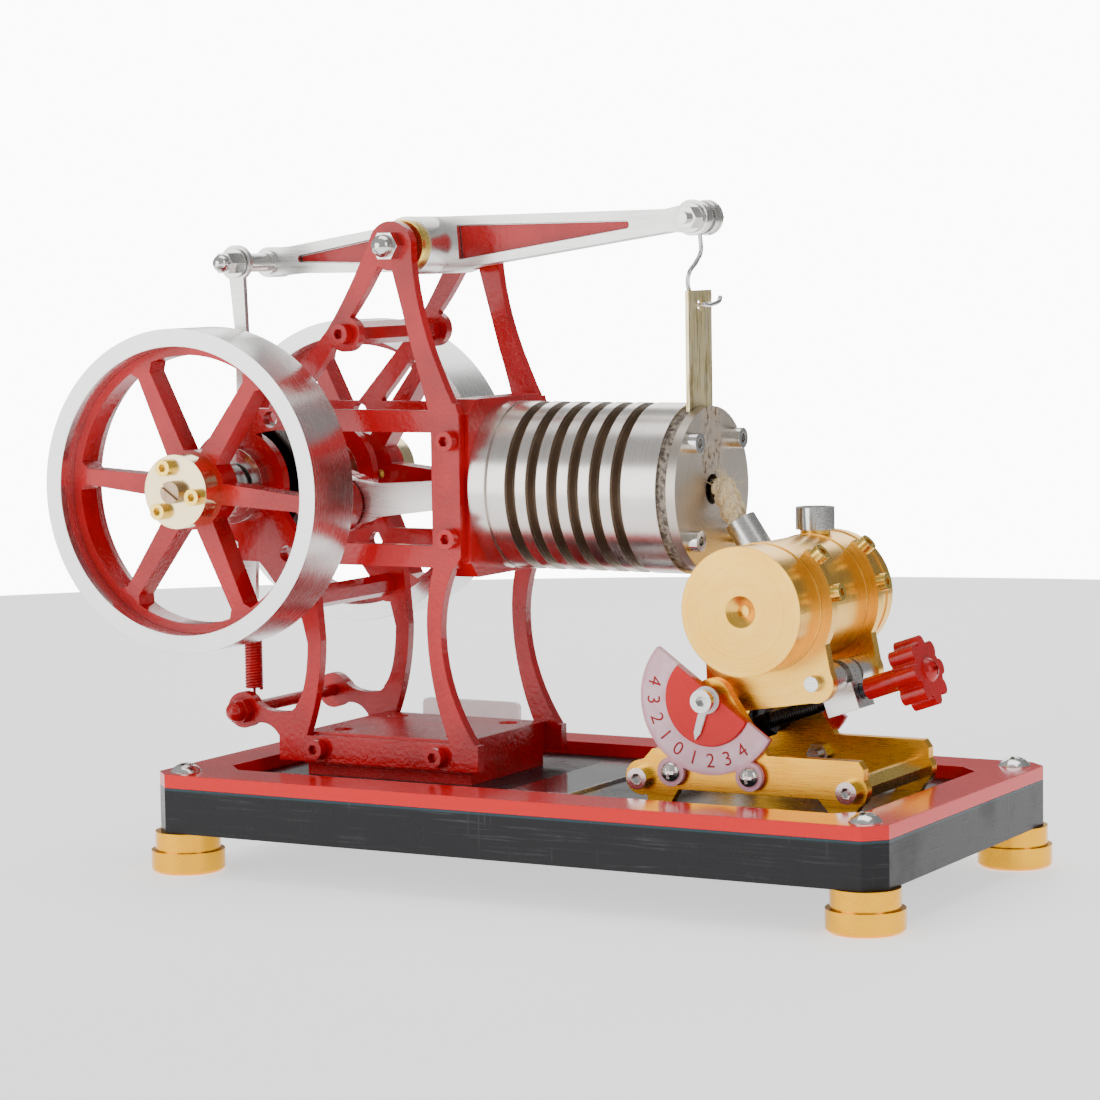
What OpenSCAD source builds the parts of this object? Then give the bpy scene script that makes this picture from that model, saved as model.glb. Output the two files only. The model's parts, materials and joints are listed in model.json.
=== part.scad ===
// Model vacuum (flame) engine with a rocking beam: base, side frames, finned cylinder, two flywheels,
// crank train, rocking beam with slide valve, and a tilting spirit burner.
// Millimetres, +Z up, +X from the flywheels towards the burner.
// The origin is under the middle of the whole model.

/* [Base] */
// Length of the base slab
base_l = 215; // [200:1:270]
// Width of the base slab
base_w = 113.1; // [112:0.1:150]
// Thickness of the black slab
slab_t = 12.3; // [8:0.1:20]
// Thickness of the red frame on the slab
rail_t = 3.65; // [2:0.05:6]
// Width of the red frame's long rails
rail_w = 15; // [12:0.5:20]
// Diameter of the round feet
foot_d = 20; // [14:0.5:26]
// Height of the feet
foot_h = 11; // [6:0.5:20]

/* [Side frames] */
// Gap between the two side frames
frame_gap = 43; // [41:0.5:56]
// Thickness of a side frame
frame_t = 3; // [2.5:0.1:4]
// Height of the crankshaft above the slab
axis_h = 79.9; // [76:0.1:90]
// Distance from the crankshaft to the cylinder's mounting face
crank_to_plate = 72.6; // [72:0.1:90]
// Height of the beam's pivot above the crankshaft
pivot_rise = 64.8; // [60:0.1:80]

/* [Cylinder] */
// Diameter over the cylinder's fins
fin_d = 45.2; // [43:0.1:52]
// Length of the cylinder
cyl_l = 56; // [54:0.1:70]
// Bore of the cylinder
bore_d = 27; // [22:0.1:30]
// Number of deep grooves
groove_n = 6; // [3:1:7]
// Width of a deep groove
groove_w = 3.2; // [2:0.1:4]
// Diameter of the end cap
cap_d = 43.6; // [40:0.1:50]
// Diameter of the flame port
port_d = 8; // [5:0.5:10]

/* [Crank train] */
// Diameter of the flywheels
wheel_d = 87.4; // [70:0.1:100]
// Width of a flywheel's rim
rim_w = 18.8; // [12:0.1:20]
// Radial thickness of the steel rim
rim_t = 4.8; // [3:0.1:6]
// Number of spokes
spoke_n = 6; // [4:1:8]
// Diameter of the crankshaft
shaft_d = 6; // [5:0.1:8]
// Throw of the crank
throw = 20; // [14:0.5:21]
// Length of the connecting rod between its pins
rod_l = 70; // [66:0.5:74]
// Angle of the crank pin at rest, above the horizontal
crank_angle = -19; // [-30:1:30]
// Outside diameter of the main bearings
bearing_d = 21; // [17:0.5:24]
// Running clearance on a radius
run = 0.05; // [0.03:0.01:0.08]

/* [Beam and valve] */
// Length of the beam's arm over the cylinder
arm_r = 80.2; // [70:0.1:100]
// Length of the beam's arm over the flywheels
arm_l = 53; // [45:0.1:56]
// Tilt of the beam at rest, cylinder end up
beam_tilt = 4.43; // [0:0.01:6]
// Thickness of the beam
beam_t = 7.6; // [6:0.1:9]
// Width of the sliding valve strip
strip_w = 13.6; // [9:0.1:16]

/* [Burner] */
// Diameter of the spirit tank
tank_d = 33.4; // [28:0.1:36]
// Length of the spirit tank
tank_l = 58; // [50:0.5:70]
// Gap between the burner's side plates
stand_gap = 39; // [36:0.5:42]
// Thickness of the burner's plates
plate_t = 3; // [2:0.1:4]
// Diameter of the wick tube
tube_d = 8.6; // [6:0.1:10]
// Diameter of the star knob
knob_d = 18.4; // [14:0.1:22]
// Number of lobes on the star knob
knob_lobes = 8; // [5:1:10]

/* [Hidden] */
$fn = 64;

// Small clearances
gap = 0.3;
seat = 0.02;

// Levels and stations
deck_z = foot_h + slab_t;
rail_z = deck_z + rail_t;
face_x = -26;
shaft_x = face_x - crank_to_plate;
axis_z = deck_z + axis_h;
frame_in = frame_gap / 2;
frame_out = frame_in + frame_t;
corner = 5.1;
foot_in = 7.3;
rail_end_w = 13;

// Pedestal under the side frames
ped_x0 = -80;
ped_x1 = -28;
ped_plate_t = 3.2;
ped_h = 12.2;
ped_z1 = deck_z + ped_h;

// Side frame stations, all as [x, z]
foot_x0 = -86.3;
foot_x1 = -23;
foot_z0 = deck_z + 4.3;
foot_z1 = deck_z + 11.5;
up_w = 8.7;
up_x1 = face_x - 1.3;
up_x0 = up_x1 - up_w;
bar_in = 15.1;
bar_out = 21;
ring_r = 15.5;
pivot = [up_x1 - 20.3, axis_z + pivot_rise];
post_hi = [pivot[0] - 15, pivot[1] - 23.4];
post_mid = [shaft_x + 19.6, axis_z - 31.2];
lobe = [shaft_x + 0.5, deck_z + 17.4];
plate_bolt_x = face_x - 4.4;
plate_bolt_dz = 13;
bolt_x = [-73.6, -35.6];

// Cylinder
plate_x0 = face_x - 8;
cyl_x1 = face_x + cyl_l;
guide_t = 2.6;
slot_t = 1.6;
cap_t = 2.7;
cap_x0 = cyl_x1 + guide_t;
cap_x1 = cap_x0 + cap_t;
slot_x0 = cap_x0 - slot_t;
strip_x = slot_x0 + slot_t / 2;
strip_t = 1;
cap_screw_r = 18;

// Crank train
pin = [shaft_x + throw * cos(crank_angle), axis_z + throw * sin(crank_angle)];
wrist_x = pin[0] + sqrt(rod_l * rod_l - pow(throw * sin(crank_angle), 2));
rod_t = 3.5;
web_gap = rod_t / 2 + 0.65;
web_t = 5;
bearing_w = 6;
bearing_y0 = frame_in;
wheel_r = wheel_d / 2;
wheel_y1 = 52.5;
wheel_y0 = wheel_y1 - rim_w;
centre_t = 7;
centre_y = (wheel_y0 + wheel_y1) / 2;
hub_d = 20;
hub_y1 = centre_y + centre_t / 2 + 7;
shaft_end = 56.3;
piston_front = cyl_x1 - 3 - (shaft_x + throw + rod_l);
piston_back = 9;

// Cam and follower
cam_r = 5.6;
cam_off = 2;
disc_r = 16.8;
disc_y = [11.5, 17.6];
follow_y = 19.2;
follow_t = 1.6;

// Beam ends, as [x, z]
beam_r = [pivot[0] + arm_r * cos(beam_tilt), pivot[1] + arm_r * sin(beam_tilt)];
beam_l = [pivot[0] - arm_l * cos(beam_tilt), pivot[1] - arm_l * sin(beam_tilt)];
beam_hub_d = 15.6;
beam_hub_y = 16;

// Burner, all as [x, z]
stand_in = stand_gap / 2;
stand_out = stand_in + plate_t;
stand_x0 = cyl_x1 - 5;
stand_x1 = cyl_x1 + 54.4;
stand_z = deck_z + 6;
tilt = [cyl_x1 + 15.7, deck_z + 27.7];
tank = [tilt[0] + 11.5, tilt[1] + 23.4];
lift = [tilt[0] + 26, tilt[1] + 4.4];
post = [tilt[0] - 1.4, tilt[1] - 10.6];
arm_y = [13, 16];
clamp_angles = [12, 42];
tube_angle = 124;
dial_r = 19.6;
dial_in = 12;
lug_r = 22.4;
lug_angles = [-120, -60];
drop = 5.3;

// The adjuster's line runs from the post and passes a fixed drop under the cradle pin
lift_d = norm(lift - post);
adj_angle = atan2(lift[1] - post[1], lift[0] - post[0]) - asin(drop / lift_d);
adj_len = sqrt(lift_d * lift_d - drop * drop);
adj_d = 4;
knob_t = 7;
knob_at = adj_len + 17.5;

// Middle of the whole model along X
x_lo = min(shaft_x - wheel_r, -base_l / 2);
x_hi = base_l / 2 - foot_in + foot_d / 2;
mid_x = (x_lo + x_hi) / 2;

RED = "#c8161d";
STEEL = "#b9b4ad";
GOLD = "#d9a441";
BRASS = "#c9a227";
SILVER = "#d7d7d9";
BLACK = "#1b1b1e";

// ---------------------------------------------------------------- helpers

// Moves engine coordinates to the model's own origin
module place() {
    translate([-mid_x, 0, 0]) children();
}

// Both sides of the engine
module both() {
    for (s = [-1, 1]) scale_y(s) children();
}

module scale_y(s) {
    if (s < 0) mirror([0, 1, 0]) children();
    else children();
}

// A round bar along Y between two stations, at a point p = [x, z]
module bar_y(p, r, y0, y1) {
    translate([p[0], y1, p[1]]) rotate([90, 0, 0]) cylinder(r = r, h = y1 - y0);
}

// A hexagonal bar along Y, across its flats af
module hex_y(p, af, y0, y1, turn = 0) {
    translate([p[0], y1, p[1]]) rotate([90, 0, 0]) rotate([0, 0, turn])
        cylinder(r = af / sqrt(3), h = y1 - y0, $fn = 6);
}

// A flat outline in X and Z, made solid between two stations along Y
module slab_y(y0, y1) {
    translate([0, y1, 0]) rotate([90, 0, 0]) linear_extrude(y1 - y0) children();
}

// A round bar along X
module bar_x(r, x0, x1, z = axis_z, y = 0) {
    translate([x0, y, z]) rotate([0, 90, 0]) cylinder(r = r, h = x1 - x0);
}

// Points of a quadratic curve from a to c, pulled towards b
function curve(a, b, c, n = 8) = [for (i = [0 : n]) let (t = i / n)
    (1 - t) * (1 - t) * a + 2 * t * (1 - t) * b + t * t * c];

function polar(p, r, a) = [p[0] + r * cos(a), p[1] + r * sin(a)];

// A socket head screw along Z: head on top of z = 0, shank below
module socket_screw(head_d, head_h, d, l, key) {
    difference() {
        cylinder(d = head_d, h = head_h);
        translate([0, 0, head_h * 0.4]) cylinder(d = key * 1.1547, h = head_h, $fn = 6);
    }
    translate([0, 0, -l]) cylinder(d = d, h = l + seat);
}

// A hexagonal nut with a domed end, pointing along Z, bored from below
module dome_nut(af, d, h = 6) {
    flat_h = h * 0.45;
    dome = af * 0.44;
    difference() {
        union() {
            cylinder(r = af / sqrt(3), h = flat_h, $fn = 6);
            rotate_extrude() intersection() {
                union() {
                    translate([0, h - dome]) circle(r = dome);
                    square([dome, h - dome]);
                }
                square([af, h]);
            }
        }
        translate([0, 0, -1]) cylinder(d = d, h = 1 + h * 0.6);
    }
}

// A low domed screw head along Z with a cross recess, and its shank below
module pan_screw(head_d, head_h, d, l) {
    dome = (head_d * head_d / 4 + head_h * head_h) / (2 * head_h);
    difference() {
        rotate_extrude() intersection() {
            translate([0, head_h - dome]) circle(r = dome, $fn = 128);
            square([head_d, head_h]);
        }
        for (a = [0, 90]) rotate([0, 0, a])
            translate([-head_d * 0.27, -head_d * 0.07, head_h * 0.45])
                cube([head_d * 0.54, head_d * 0.14, head_h]);
    }
    translate([0, 0, -l]) cylinder(d = d, h = l + seat);
}

// ---------------------------------------------------------------- base

module base_outline() {
    x = base_l / 2;
    y = base_w / 2;
    polygon([[-x + corner, -y], [x - corner, -y], [x, -y + corner], [x, y - corner],
        [x - corner, y], [-x + corner, y], [-x, y - corner], [-x, -y + corner]]);
}

module at_corners() {
    for (x = [-1, 1], y = [-1, 1])
        translate([x * (base_l / 2 - foot_in), y * (base_w / 2 - foot_in), 0]) children();
}

module base_slab() {
    color(BLACK) place() difference() {
        translate([0, 0, foot_h]) linear_extrude(slab_t) base_outline();
        at_corners() translate([0, 0, -1]) cylinder(r = 2 + seat, h = 200);
    }
}

module base_frame() {
    wx = base_l / 2 - rail_end_w;
    wy = base_w / 2 - rail_w;
    cut = 6;
    color(RED) place() difference() {
        translate([0, 0, deck_z]) linear_extrude(rail_t) difference() {
            base_outline();
            polygon([[-wx + cut, -wy], [wx - cut, -wy], [wx, -wy + cut], [wx, wy - cut],
                [wx - cut, wy], [-wx + cut, wy], [-wx, wy - cut], [-wx, -wy + cut]]);
        }
        at_corners() translate([0, 0, -1]) cylinder(r = 2 + seat, h = 200);
    }
}

module feet() {
    low_h = foot_h * 0.535;
    bevel = 0.8;
    color(GOLD) place() at_corners() difference() {
        union() {
            cylinder(d1 = foot_d - 2 * bevel, d2 = foot_d, h = bevel);
            translate([0, 0, bevel]) cylinder(d = foot_d, h = low_h - bevel);
            translate([0, 0, low_h]) cylinder(d = foot_d * 0.883, h = foot_h - low_h);
        }
        translate([0, 0, 3]) cylinder(r = 2 + seat, h = foot_h);
    }
}

module base_screws() {
    color(SILVER) place() at_corners() translate([0, 0, rail_z])
        pan_screw(8.8, 2.4, 4, rail_t + slab_t + 6);
}

module nameplate() {
    plate_w = 18;
    plate_l = 54;
    color(SILVER) place() translate([-12.5, -plate_l / 2, deck_z]) cube([plate_w, plate_l, 1]);
}

module rear_tab() {
    tab_w = 32;
    tab_h = 9;
    r = 1.6;
    tab_y = (base_w - rail_w) / 2;
    color("#f3c4c8") place() translate([23.5 - base_l / 2, 0, rail_z]) slab_y(tab_y - 1, tab_y + 1) union() {
        translate([0, 0]) square([tab_w, tab_h - r]);
        translate([r, 0]) square([tab_w - 2 * r, tab_h]);
        for (x = [r, tab_w - r]) translate([x, tab_h - r]) circle(r = r);
    }
}

// ---------------------------------------------------------------- side frames

module pedestal() {
    low_in = 1.75;
    color(RED) place() {
        translate([ped_x0, -frame_in + low_in, deck_z])
            cube([ped_x1 - ped_x0, 2 * (frame_in - low_in), ped_plate_t]);
        difference() {
            translate([ped_x0, -frame_in, deck_z + ped_plate_t])
                cube([ped_x1 - ped_x0, 2 * frame_in, ped_h - ped_plate_t]);
            for (x = bolt_x) both() bar_y([x, deck_z + 8], 1.5 + seat, frame_in - 6.5, frame_in + 1);
            for (x = [ped_x0 + 8, ped_x1 - 8]) both() translate([x, frame_in - 7, 0]) {
                translate([0, 0, deck_z + ped_plate_t + 2]) cylinder(r = 1.5, h = 20);
                translate([0, 0, ped_z1 - 1.6]) cylinder(r1 = 1.5, r2 = 3.1, h = 1.6 + seat);
            }
        }
    }
}

// A curved leg of the side frame: one edge up, the other edge back down
module strip(edge_a, edge_b) {
    polygon(concat(edge_a, [for (i = [len(edge_b) - 1 : -1 : 0]) edge_b[i]]));
}

// Outline of a side frame, made of its bars, legs, rings and lobes
module side_outline() {
    s = [shaft_x, axis_z];
    bar_lo = axis_z - bar_out;
    bar_hi = axis_z + bar_out;
    top_r = 6.6;
    // Foot, upright and the two level bars
    translate([foot_x0, foot_z0]) square([foot_x1 - foot_x0, foot_z1 - foot_z0]);
    polygon([[up_x0, bar_lo], [up_x1 - 2, bar_lo], [up_x1, bar_lo + 3], [up_x1, bar_hi - 1],
        [up_x1 - 1, bar_hi + 2], [up_x0, bar_hi + 1]]);
    for (z = [axis_z + bar_in, bar_lo]) translate([shaft_x, z])
        square([up_x0 - shaft_x + 1, bar_out - bar_in]);
    // Bearing ring, top lobe, post rings and lower lobe
    translate(s) circle(r = ring_r);
    translate(pivot) circle(r = top_r);
    translate(post_hi) circle(r = 4.9);
    translate(post_mid) circle(r = 5);
    translate(lobe) circle(r = 5);
    // Right leg above the bars
    strip(concat(curve(pivot + [0, -5], pivot + [3.6, -18], pivot + [6.6, -29]),
            curve(pivot + [6.6, -29], pivot + [9, -36], [up_x0 - 0.5, bar_hi - 1])),
        concat(curve(pivot + [6.5, 1], pivot + [6.6, -16], [up_x1 - 5.6, bar_hi + 10]),
            curve([up_x1 - 5.6, bar_hi + 10], [up_x1 - 3, bar_hi + 4], [up_x1 - 0.8, bar_hi])));
    // Left leg, from the top lobe down to the bearing ring
    strip(concat(curve(pivot + [-6, 2.6], pivot + [-13, -12], pivot + [-20.5, -22.5]),
            curve(pivot + [-20.5, -22.5], pivot + [-30, -33], s + [8, 17.5]),
            curve(s + [8, 17.5], s + [2, 13], s + [-9, 11])),
        concat(curve(pivot + [-3, -4], pivot + [-8, -13], pivot + [-13.5, -19.5]),
            curve(pivot + [-13.5, -19.5], pivot + [-20, -30], s + [19.5, 22]),
            curve(s + [19.5, 22], s + [18, 20], s + [17, 16])));
    // Right leg below the bars
    strip(concat(curve([up_x0 + 0.2, bar_lo + 0.5], [up_x0 - 2.6, bar_lo - 9], [up_x0 - 2.2, bar_lo - 18]),
            curve([up_x0 - 2.2, bar_lo - 18], [up_x0 - 1.6, bar_lo - 34], [foot_x1 - 8.2, foot_z1 - 1])),
        concat(curve([up_x1 - 1.4, bar_lo + 2.4], [up_x1 - 7, bar_lo - 8], [up_x1 - 6.5, bar_lo - 19]),
            curve([up_x1 - 6.5, bar_lo - 19], [up_x1 - 6, bar_lo - 34], [foot_x1 - 0.2, foot_z1 - 1])));
    // Left leg below the bars
    strip(concat(curve([post_mid[0] - 4, bar_lo + 1], post_mid + [0.5, -3], post_mid + [2.6, -12]),
            curve(post_mid + [2.6, -12], post_mid + [2.2, -25], [foot_x0 + 5.6, foot_z1 + 8]),
            [[foot_x0 + 4, foot_z1 - 1]]),
        concat(curve([post_mid[0] + 4.6, bar_lo + 1], post_mid + [6, 1], post_mid + [6.9, -11]),
            curve(post_mid + [6.9, -11], post_mid + [6.6, -26], [foot_x0 + 8.6, foot_z1 - 1])));
    // Arm that carries the lower lobe
    strip(concat([lobe + [1, -4.9]], curve(lobe + [3.2, -3.8], lobe + [8.5, -1.8], [foot_x0, foot_z1 - 0.5]),
            [[foot_x0 + 8, foot_z1 - 2]]),
        concat([lobe + [1, 4.9]], curve(lobe + [4.4, 2.4], lobe + [8, -0.6], [foot_x0 + 3, foot_z1 + 6.2]),
            curve([foot_x0 + 3, foot_z1 + 6.2], [foot_x0 + 5.5, foot_z1 + 6.5],
                [foot_x0 + 7, foot_z1 + 10])));
    // Web from the bearing ring down to the middle post
    strip(curve(s + [-6, -14], s + [4, -15], post_mid + [-4.9, 0.6]),
        [s + [14, -6], [shaft_x + 20.5, bar_lo + 5.9], post_mid + [4, 1]]);
}

module side_frame() {
    slab_y(frame_in, frame_out) difference() {
        side_outline();
        translate([shaft_x, axis_z]) circle(d = bearing_d + 2 * seat);
        translate(pivot) circle(r = 2 + seat);
        for (p = [post_hi, post_mid]) translate(p) circle(r = 1.5 + seat);
        translate(lobe) circle(r = 1.7 + seat);
        for (x = bolt_x) translate([x, deck_z + 8]) circle(r = 1.5 + seat);
        for (z = [-1, 1]) translate([plate_bolt_x, axis_z + z * plate_bolt_dz]) circle(r = 1.5 + seat);
        // Spare holes in the webs beside the bearing
        translate([shaft_x + 11.5, axis_z + 18]) circle(r = 2.2);
        translate([shaft_x + 16, axis_z - 18.6]) circle(r = 2.2);
    }
}

module side_frame_front() {
    color(RED) place() scale_y(-1) side_frame();
}

module side_frame_rear() {
    color(RED) place() side_frame();
}

module frame_bolts() {
    spots = concat([post_hi, post_mid], [for (x = bolt_x) [x, deck_z + 8]],
        [for (z = [-1, 1]) [plate_bolt_x, axis_z + z * plate_bolt_dz]]);
    color(RED) place() both() for (p = spots) translate([p[0], frame_out, p[1]])
        rotate([-90, 0, 0]) socket_screw(5.5, 3, 3, frame_t + 5.5, 2.5);
}

module cross_posts() {
    color(RED) place() {
        for (p = [post_hi, post_mid]) difference() {
            hex_y(p, 5.5, -frame_in, frame_in, 30);
            both() bar_y(p, 1.5 + seat, frame_in - 6, frame_in + 1);
        }
        bar_y(lobe, 1.7, -frame_out - 3, frame_out + 3);
    }
}

module lobe_nuts() {
    color(RED) place() both() translate([lobe[0], frame_out, lobe[1]])
        rotate([-90, 0, 0]) dome_nut(6.4, 3.4 + 2 * seat, 6.4);
}

module bearing_outers() {
    shield = 0.5;
    color(STEEL) place() both() difference() {
        bar_y([shaft_x, axis_z], bearing_d / 2, bearing_y0, bearing_y0 + bearing_w);
        bar_y([shaft_x, axis_z], 5.5, bearing_y0 - 1, bearing_y0 + bearing_w + 1);
        bar_y([shaft_x, axis_z], bearing_d / 2 - 2, bearing_y0 - 1, bearing_y0 + shield);
        bar_y([shaft_x, axis_z], bearing_d / 2 - 2, bearing_y0 + bearing_w - shield, bearing_y0 + 20);
    }
}

// ---------------------------------------------------------------- cylinder

module cylinder_plate() {
    h = fin_d / 2 + 1.2;
    c = 4;
    color(RED) place() difference() {
        translate([plate_x0, 0, axis_z]) rotate([90, 0, 90]) linear_extrude(face_x - plate_x0)
            polygon([[-frame_in + c, -h], [frame_in - c, -h], [frame_in, -h + c], [frame_in, h - c],
                [frame_in - c, h], [-frame_in + c, h], [-frame_in, h - c], [-frame_in, -h + c]]);
        bar_x(bore_d / 2 + 1.5, plate_x0 - 1, face_x + 1);
        for (z = [-1, 1]) both() bar_y([plate_bolt_x, axis_z + z * plate_bolt_dz], 1.5 + seat,
            frame_in - 6, frame_in + 1);
    }
}

module at_cap_screws(x) {
    for (a = [45 : 90 : 315]) translate([x, cap_screw_r * cos(a), axis_z + cap_screw_r * sin(a)])
        rotate([0, 90, 0]) children();
}

module cylinder_barrel() {
    first = 11.2;
    pitch = groove_w + 3.1;
    groove_d = 4.4;
    difference() {
        bar_x(fin_d / 2, face_x, cyl_x1);
        bar_x(bore_d / 2, face_x - 1, cyl_x1 + 1);
        difference() {
            bar_x(fin_d / 2 + 1, face_x + 5, face_x + 5.8);
            bar_x(fin_d / 2 - 1, face_x, face_x + 10);
        }
        for (i = [0 : groove_n - 1]) difference() {
            bar_x(fin_d / 2 + 1, face_x + first + i * pitch, face_x + first + i * pitch + groove_w);
            bar_x(fin_d / 2 - groove_d, face_x, cyl_x1);
        }
        at_cap_screws(cyl_x1 - 8) cylinder(r = 1.5 + seat, h = 20);
    }
}

module cylinder_node() {
    color(STEEL) place() cylinder_barrel();
}

module valve_guide() {
    slot_w = strip_w + 2 * gap;
    color("#6f675c") place() difference() {
        bar_x(cap_d / 2, cyl_x1, cap_x0);
        bar_x(port_d / 2, cyl_x1 - 1, cap_x0 + 1);
        translate([slot_x0, -slot_w / 2, axis_z - port_d / 2 - 4])
            cube([slot_t + 1, slot_w, cap_d]);
        at_cap_screws(cyl_x1 - 1) cylinder(r = 1.5 + seat, h = 20);
    }
}

module end_cap() {
    color(STEEL) place() difference() {
        bar_x(cap_d / 2, cap_x0, cap_x1);
        bar_x(port_d / 2, cap_x0 - 1, cap_x1 + 1);
        at_cap_screws(cap_x0 - 1) cylinder(r = 1.5 + seat, h = 20);
    }
}

module cap_screws() {
    color(SILVER) place() at_cap_screws(cap_x1) socket_screw(5.5, 3, 3, cap_t + guide_t + 7.5, 2.5);
}

// ---------------------------------------------------------------- beam pivot and spring

module beam_pin() {
    color(SILVER) place() bar_y(pivot, 2, -frame_out - 3.5, frame_out + 3.5);
}

module beam_pin_nuts() {
    color(SILVER) place() both() translate([pivot[0], frame_out, pivot[1]])
        rotate([-90, 0, 0]) dome_nut(7, 4 + 2 * seat, 6.8);
}

module return_spring() {
    wire = 0.45;
    coil_r = 2.6;
    z0 = lobe[1] + 4.9;
    rib = 0.85;
    ribs = 24;
    hook_r = 1.7 + 0.9;
    color(RED) place() translate([lobe[0], -follow_y + 0.5, 0]) {
        translate([0, 0, z0]) rotate_extrude() polygon(concat(
            [[coil_r - 2 * wire, 0]],
            [for (i = [0 : ribs - 1], k = [0, 1]) [coil_r - (k == 0 ? 0.35 : 0), (i + k * 0.5) * rib]],
            [[coil_r - 0.35, ribs * rib], [coil_r - 2 * wire, ribs * rib]]));
        translate([0, 0, z0]) cylinder(r = coil_r - wire, h = wire);
        translate([0, 0, lobe[1] + hook_r - wire / 2]) cylinder(r = wire, h = z0 - lobe[1] - hook_r + wire);
        translate([0, 0, lobe[1]]) rotate([90, 0, 0]) rotate_extrude()
            translate([hook_r, 0]) circle(r = wire);
    }
}

// ---------------------------------------------------------------- crank train

module crankshaft() {
    color(STEEL) place() both() difference() {
        bar_y([shaft_x, axis_z], shaft_d / 2, web_gap, shaft_end);
        // Screwdriver slot in the end
        translate([shaft_x, shaft_end, axis_z]) rotate([0, 35, 0])
            translate([-shaft_d, -0.8, -0.4]) cube([2 * shaft_d, 2, 0.8]);
    }
}

module crank_webs() {
    c = [shaft_x, axis_z];
    pin_r = 8;
    hub_r = 9;
    color(RED) place() both() slab_y(web_gap, web_gap + web_t) difference() {
        translate(c) rotate([0, 0, crank_angle]) {
            circle(r = hub_r);
            translate([throw, 0]) circle(r = pin_r);
            polygon([[0, -hub_r + 0.3], [throw, -pin_r + 0.2], [throw, pin_r - 0.2], [0, hub_r - 0.3]]);
            intersection() {
                circle(r = 20);
                polygon([[0, 0], [-22, -20], [-40, 0], [-22, 20]]);
            }
        }
        translate(c) circle(r = shaft_d / 2 + seat);
    }
}

module shaft_collars() {
    y0 = bearing_y0 + bearing_w + 0.1;
    y1 = centre_y - centre_t / 2 - seat;
    color(SILVER) place() both() difference() {
        union() {
            bar_y([shaft_x, axis_z], 6.2, y0 + 0.6, y0 + 5);
            bar_y([shaft_x, axis_z], 4.6, y0, y1);
        }
        bar_y([shaft_x, axis_z], shaft_d / 2 + seat, y0 - 1, y1 + 1);
    }
}

module bearing_inners() {
    color(SILVER) place() both() difference() {
        bar_y([shaft_x, axis_z], 5.2, bearing_y0, bearing_y0 + bearing_w);
        bar_y([shaft_x, axis_z], shaft_d / 2 + seat, bearing_y0 - 1, bearing_y0 + bearing_w + 1);
    }
}

module flywheel_rims() {
    c = [shaft_x, axis_z];
    color(SILVER) place() both() difference() {
        bar_y(c, wheel_r, wheel_y0, wheel_y1);
        bar_y(c, wheel_r - rim_t, wheel_y0 - 1, wheel_y1 + 1);
    }
}

module flywheel_centres() {
    r_out = wheel_r - rim_t - seat;
    r_in = r_out - 2.5;
    phase = -5;
    color(RED) place() both() translate([shaft_x, 0, axis_z])
        slab_y(centre_y - centre_t / 2, centre_y + centre_t / 2) difference() {
            union() {
                difference() {
                    circle(r = r_out);
                    circle(r = r_in);
                }
                circle(r = hub_d / 2 + 0.8);
                for (i = [0 : spoke_n - 1]) rotate([0, 0, phase + i * 360 / spoke_n])
                    polygon([[0, -3.2], [r_in - 2.2, -2.2], [r_in + 0.6, -4.4], [r_in + 0.6, 4.4],
                        [r_in - 2.2, 2.2], [0, 3.2]]);
            }
            circle(r = 5 + seat);
            for (a = [-10, 110, 230]) rotate([0, 0, a]) translate([6.9, 0]) circle(r = 1.25 + seat);
        }
}

module flywheel_hubs() {
    y0 = centre_y - centre_t / 2;
    y1 = centre_y + centre_t / 2;
    c = [shaft_x, axis_z];
    color(BRASS) place() both() difference() {
        union() {
            bar_y(c, hub_d / 2, y1, hub_y1);
            bar_y(c, 5, y0, y1 + seat);
        }
        bar_y(c, shaft_d / 2 + seat, y0 - 1, hub_y1 + 1);
        for (a = [-10, 110, 230]) bar_y(polar(c, 6.9, a), 1.25 + seat, y0, hub_y1 + 1);
    }
}

module hub_screws() {
    color(BRASS) place() both() for (a = [-10, 110, 230]) {
        p = polar([shaft_x, axis_z], 6.9, a);
        translate([p[0], hub_y1, p[1]]) rotate([-90, 0, 0]) socket_screw(4.5, 2.5, 2.5, 13, 2);
    }
}

module cam_disc() {
    c = [shaft_x, axis_z];
    color("#4a3c38") place() scale_y(-1) difference() {
        union() {
            bar_y(c, disc_r, disc_y[0], disc_y[1]);
            bar_y(polar(c, cam_off, 100), cam_r, disc_y[1] - seat, follow_y + follow_t / 2 + 0.5);
        }
        bar_y(c, shaft_d / 2 + seat, 0, 40);
    }
}

module piston() {
    r = bore_d / 2 - run;
    x0 = wrist_x - piston_back;
    x1 = wrist_x + piston_front;
    wall = 2.4;
    boss_y = rod_t / 2 + 0.4;
    color(SILVER) place() difference() {
        union() {
            difference() {
                bar_x(r, x0, x1);
                bar_x(r - wall, x0 - 1, x1 - 4);
            }
            both() bar_y([wrist_x, axis_z], 4.6, boss_y, r - wall / 2);
        }
        bar_y([wrist_x, axis_z], 2.5 + seat, -r, r);
    }
}

module wrist_pin() {
    r = bore_d / 2 - 1.2;
    color(STEEL) place() bar_y([wrist_x, axis_z], 2.5, -r, r);
}

module connecting_rod() {
    w = [wrist_x, axis_z];
    big = 8;
    small = 4.4;
    a = atan2(w[1] - pin[1], w[0] - pin[0]);
    color(SILVER) place() slab_y(-rod_t / 2, rod_t / 2) difference() {
        translate(pin) rotate([0, 0, a]) {
            circle(r = big);
            translate([rod_l, 0]) circle(r = small);
            polygon([[0, -big + 0.5], [big + 4, -4.6], [rod_l, -2.8],
                [rod_l, 2.8], [big + 4, 4.6], [0, big - 0.5]]);
        }
        translate(pin) circle(r = 2.5 + seat);
        translate(w) circle(r = 2.5 + run);
    }
}

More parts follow.
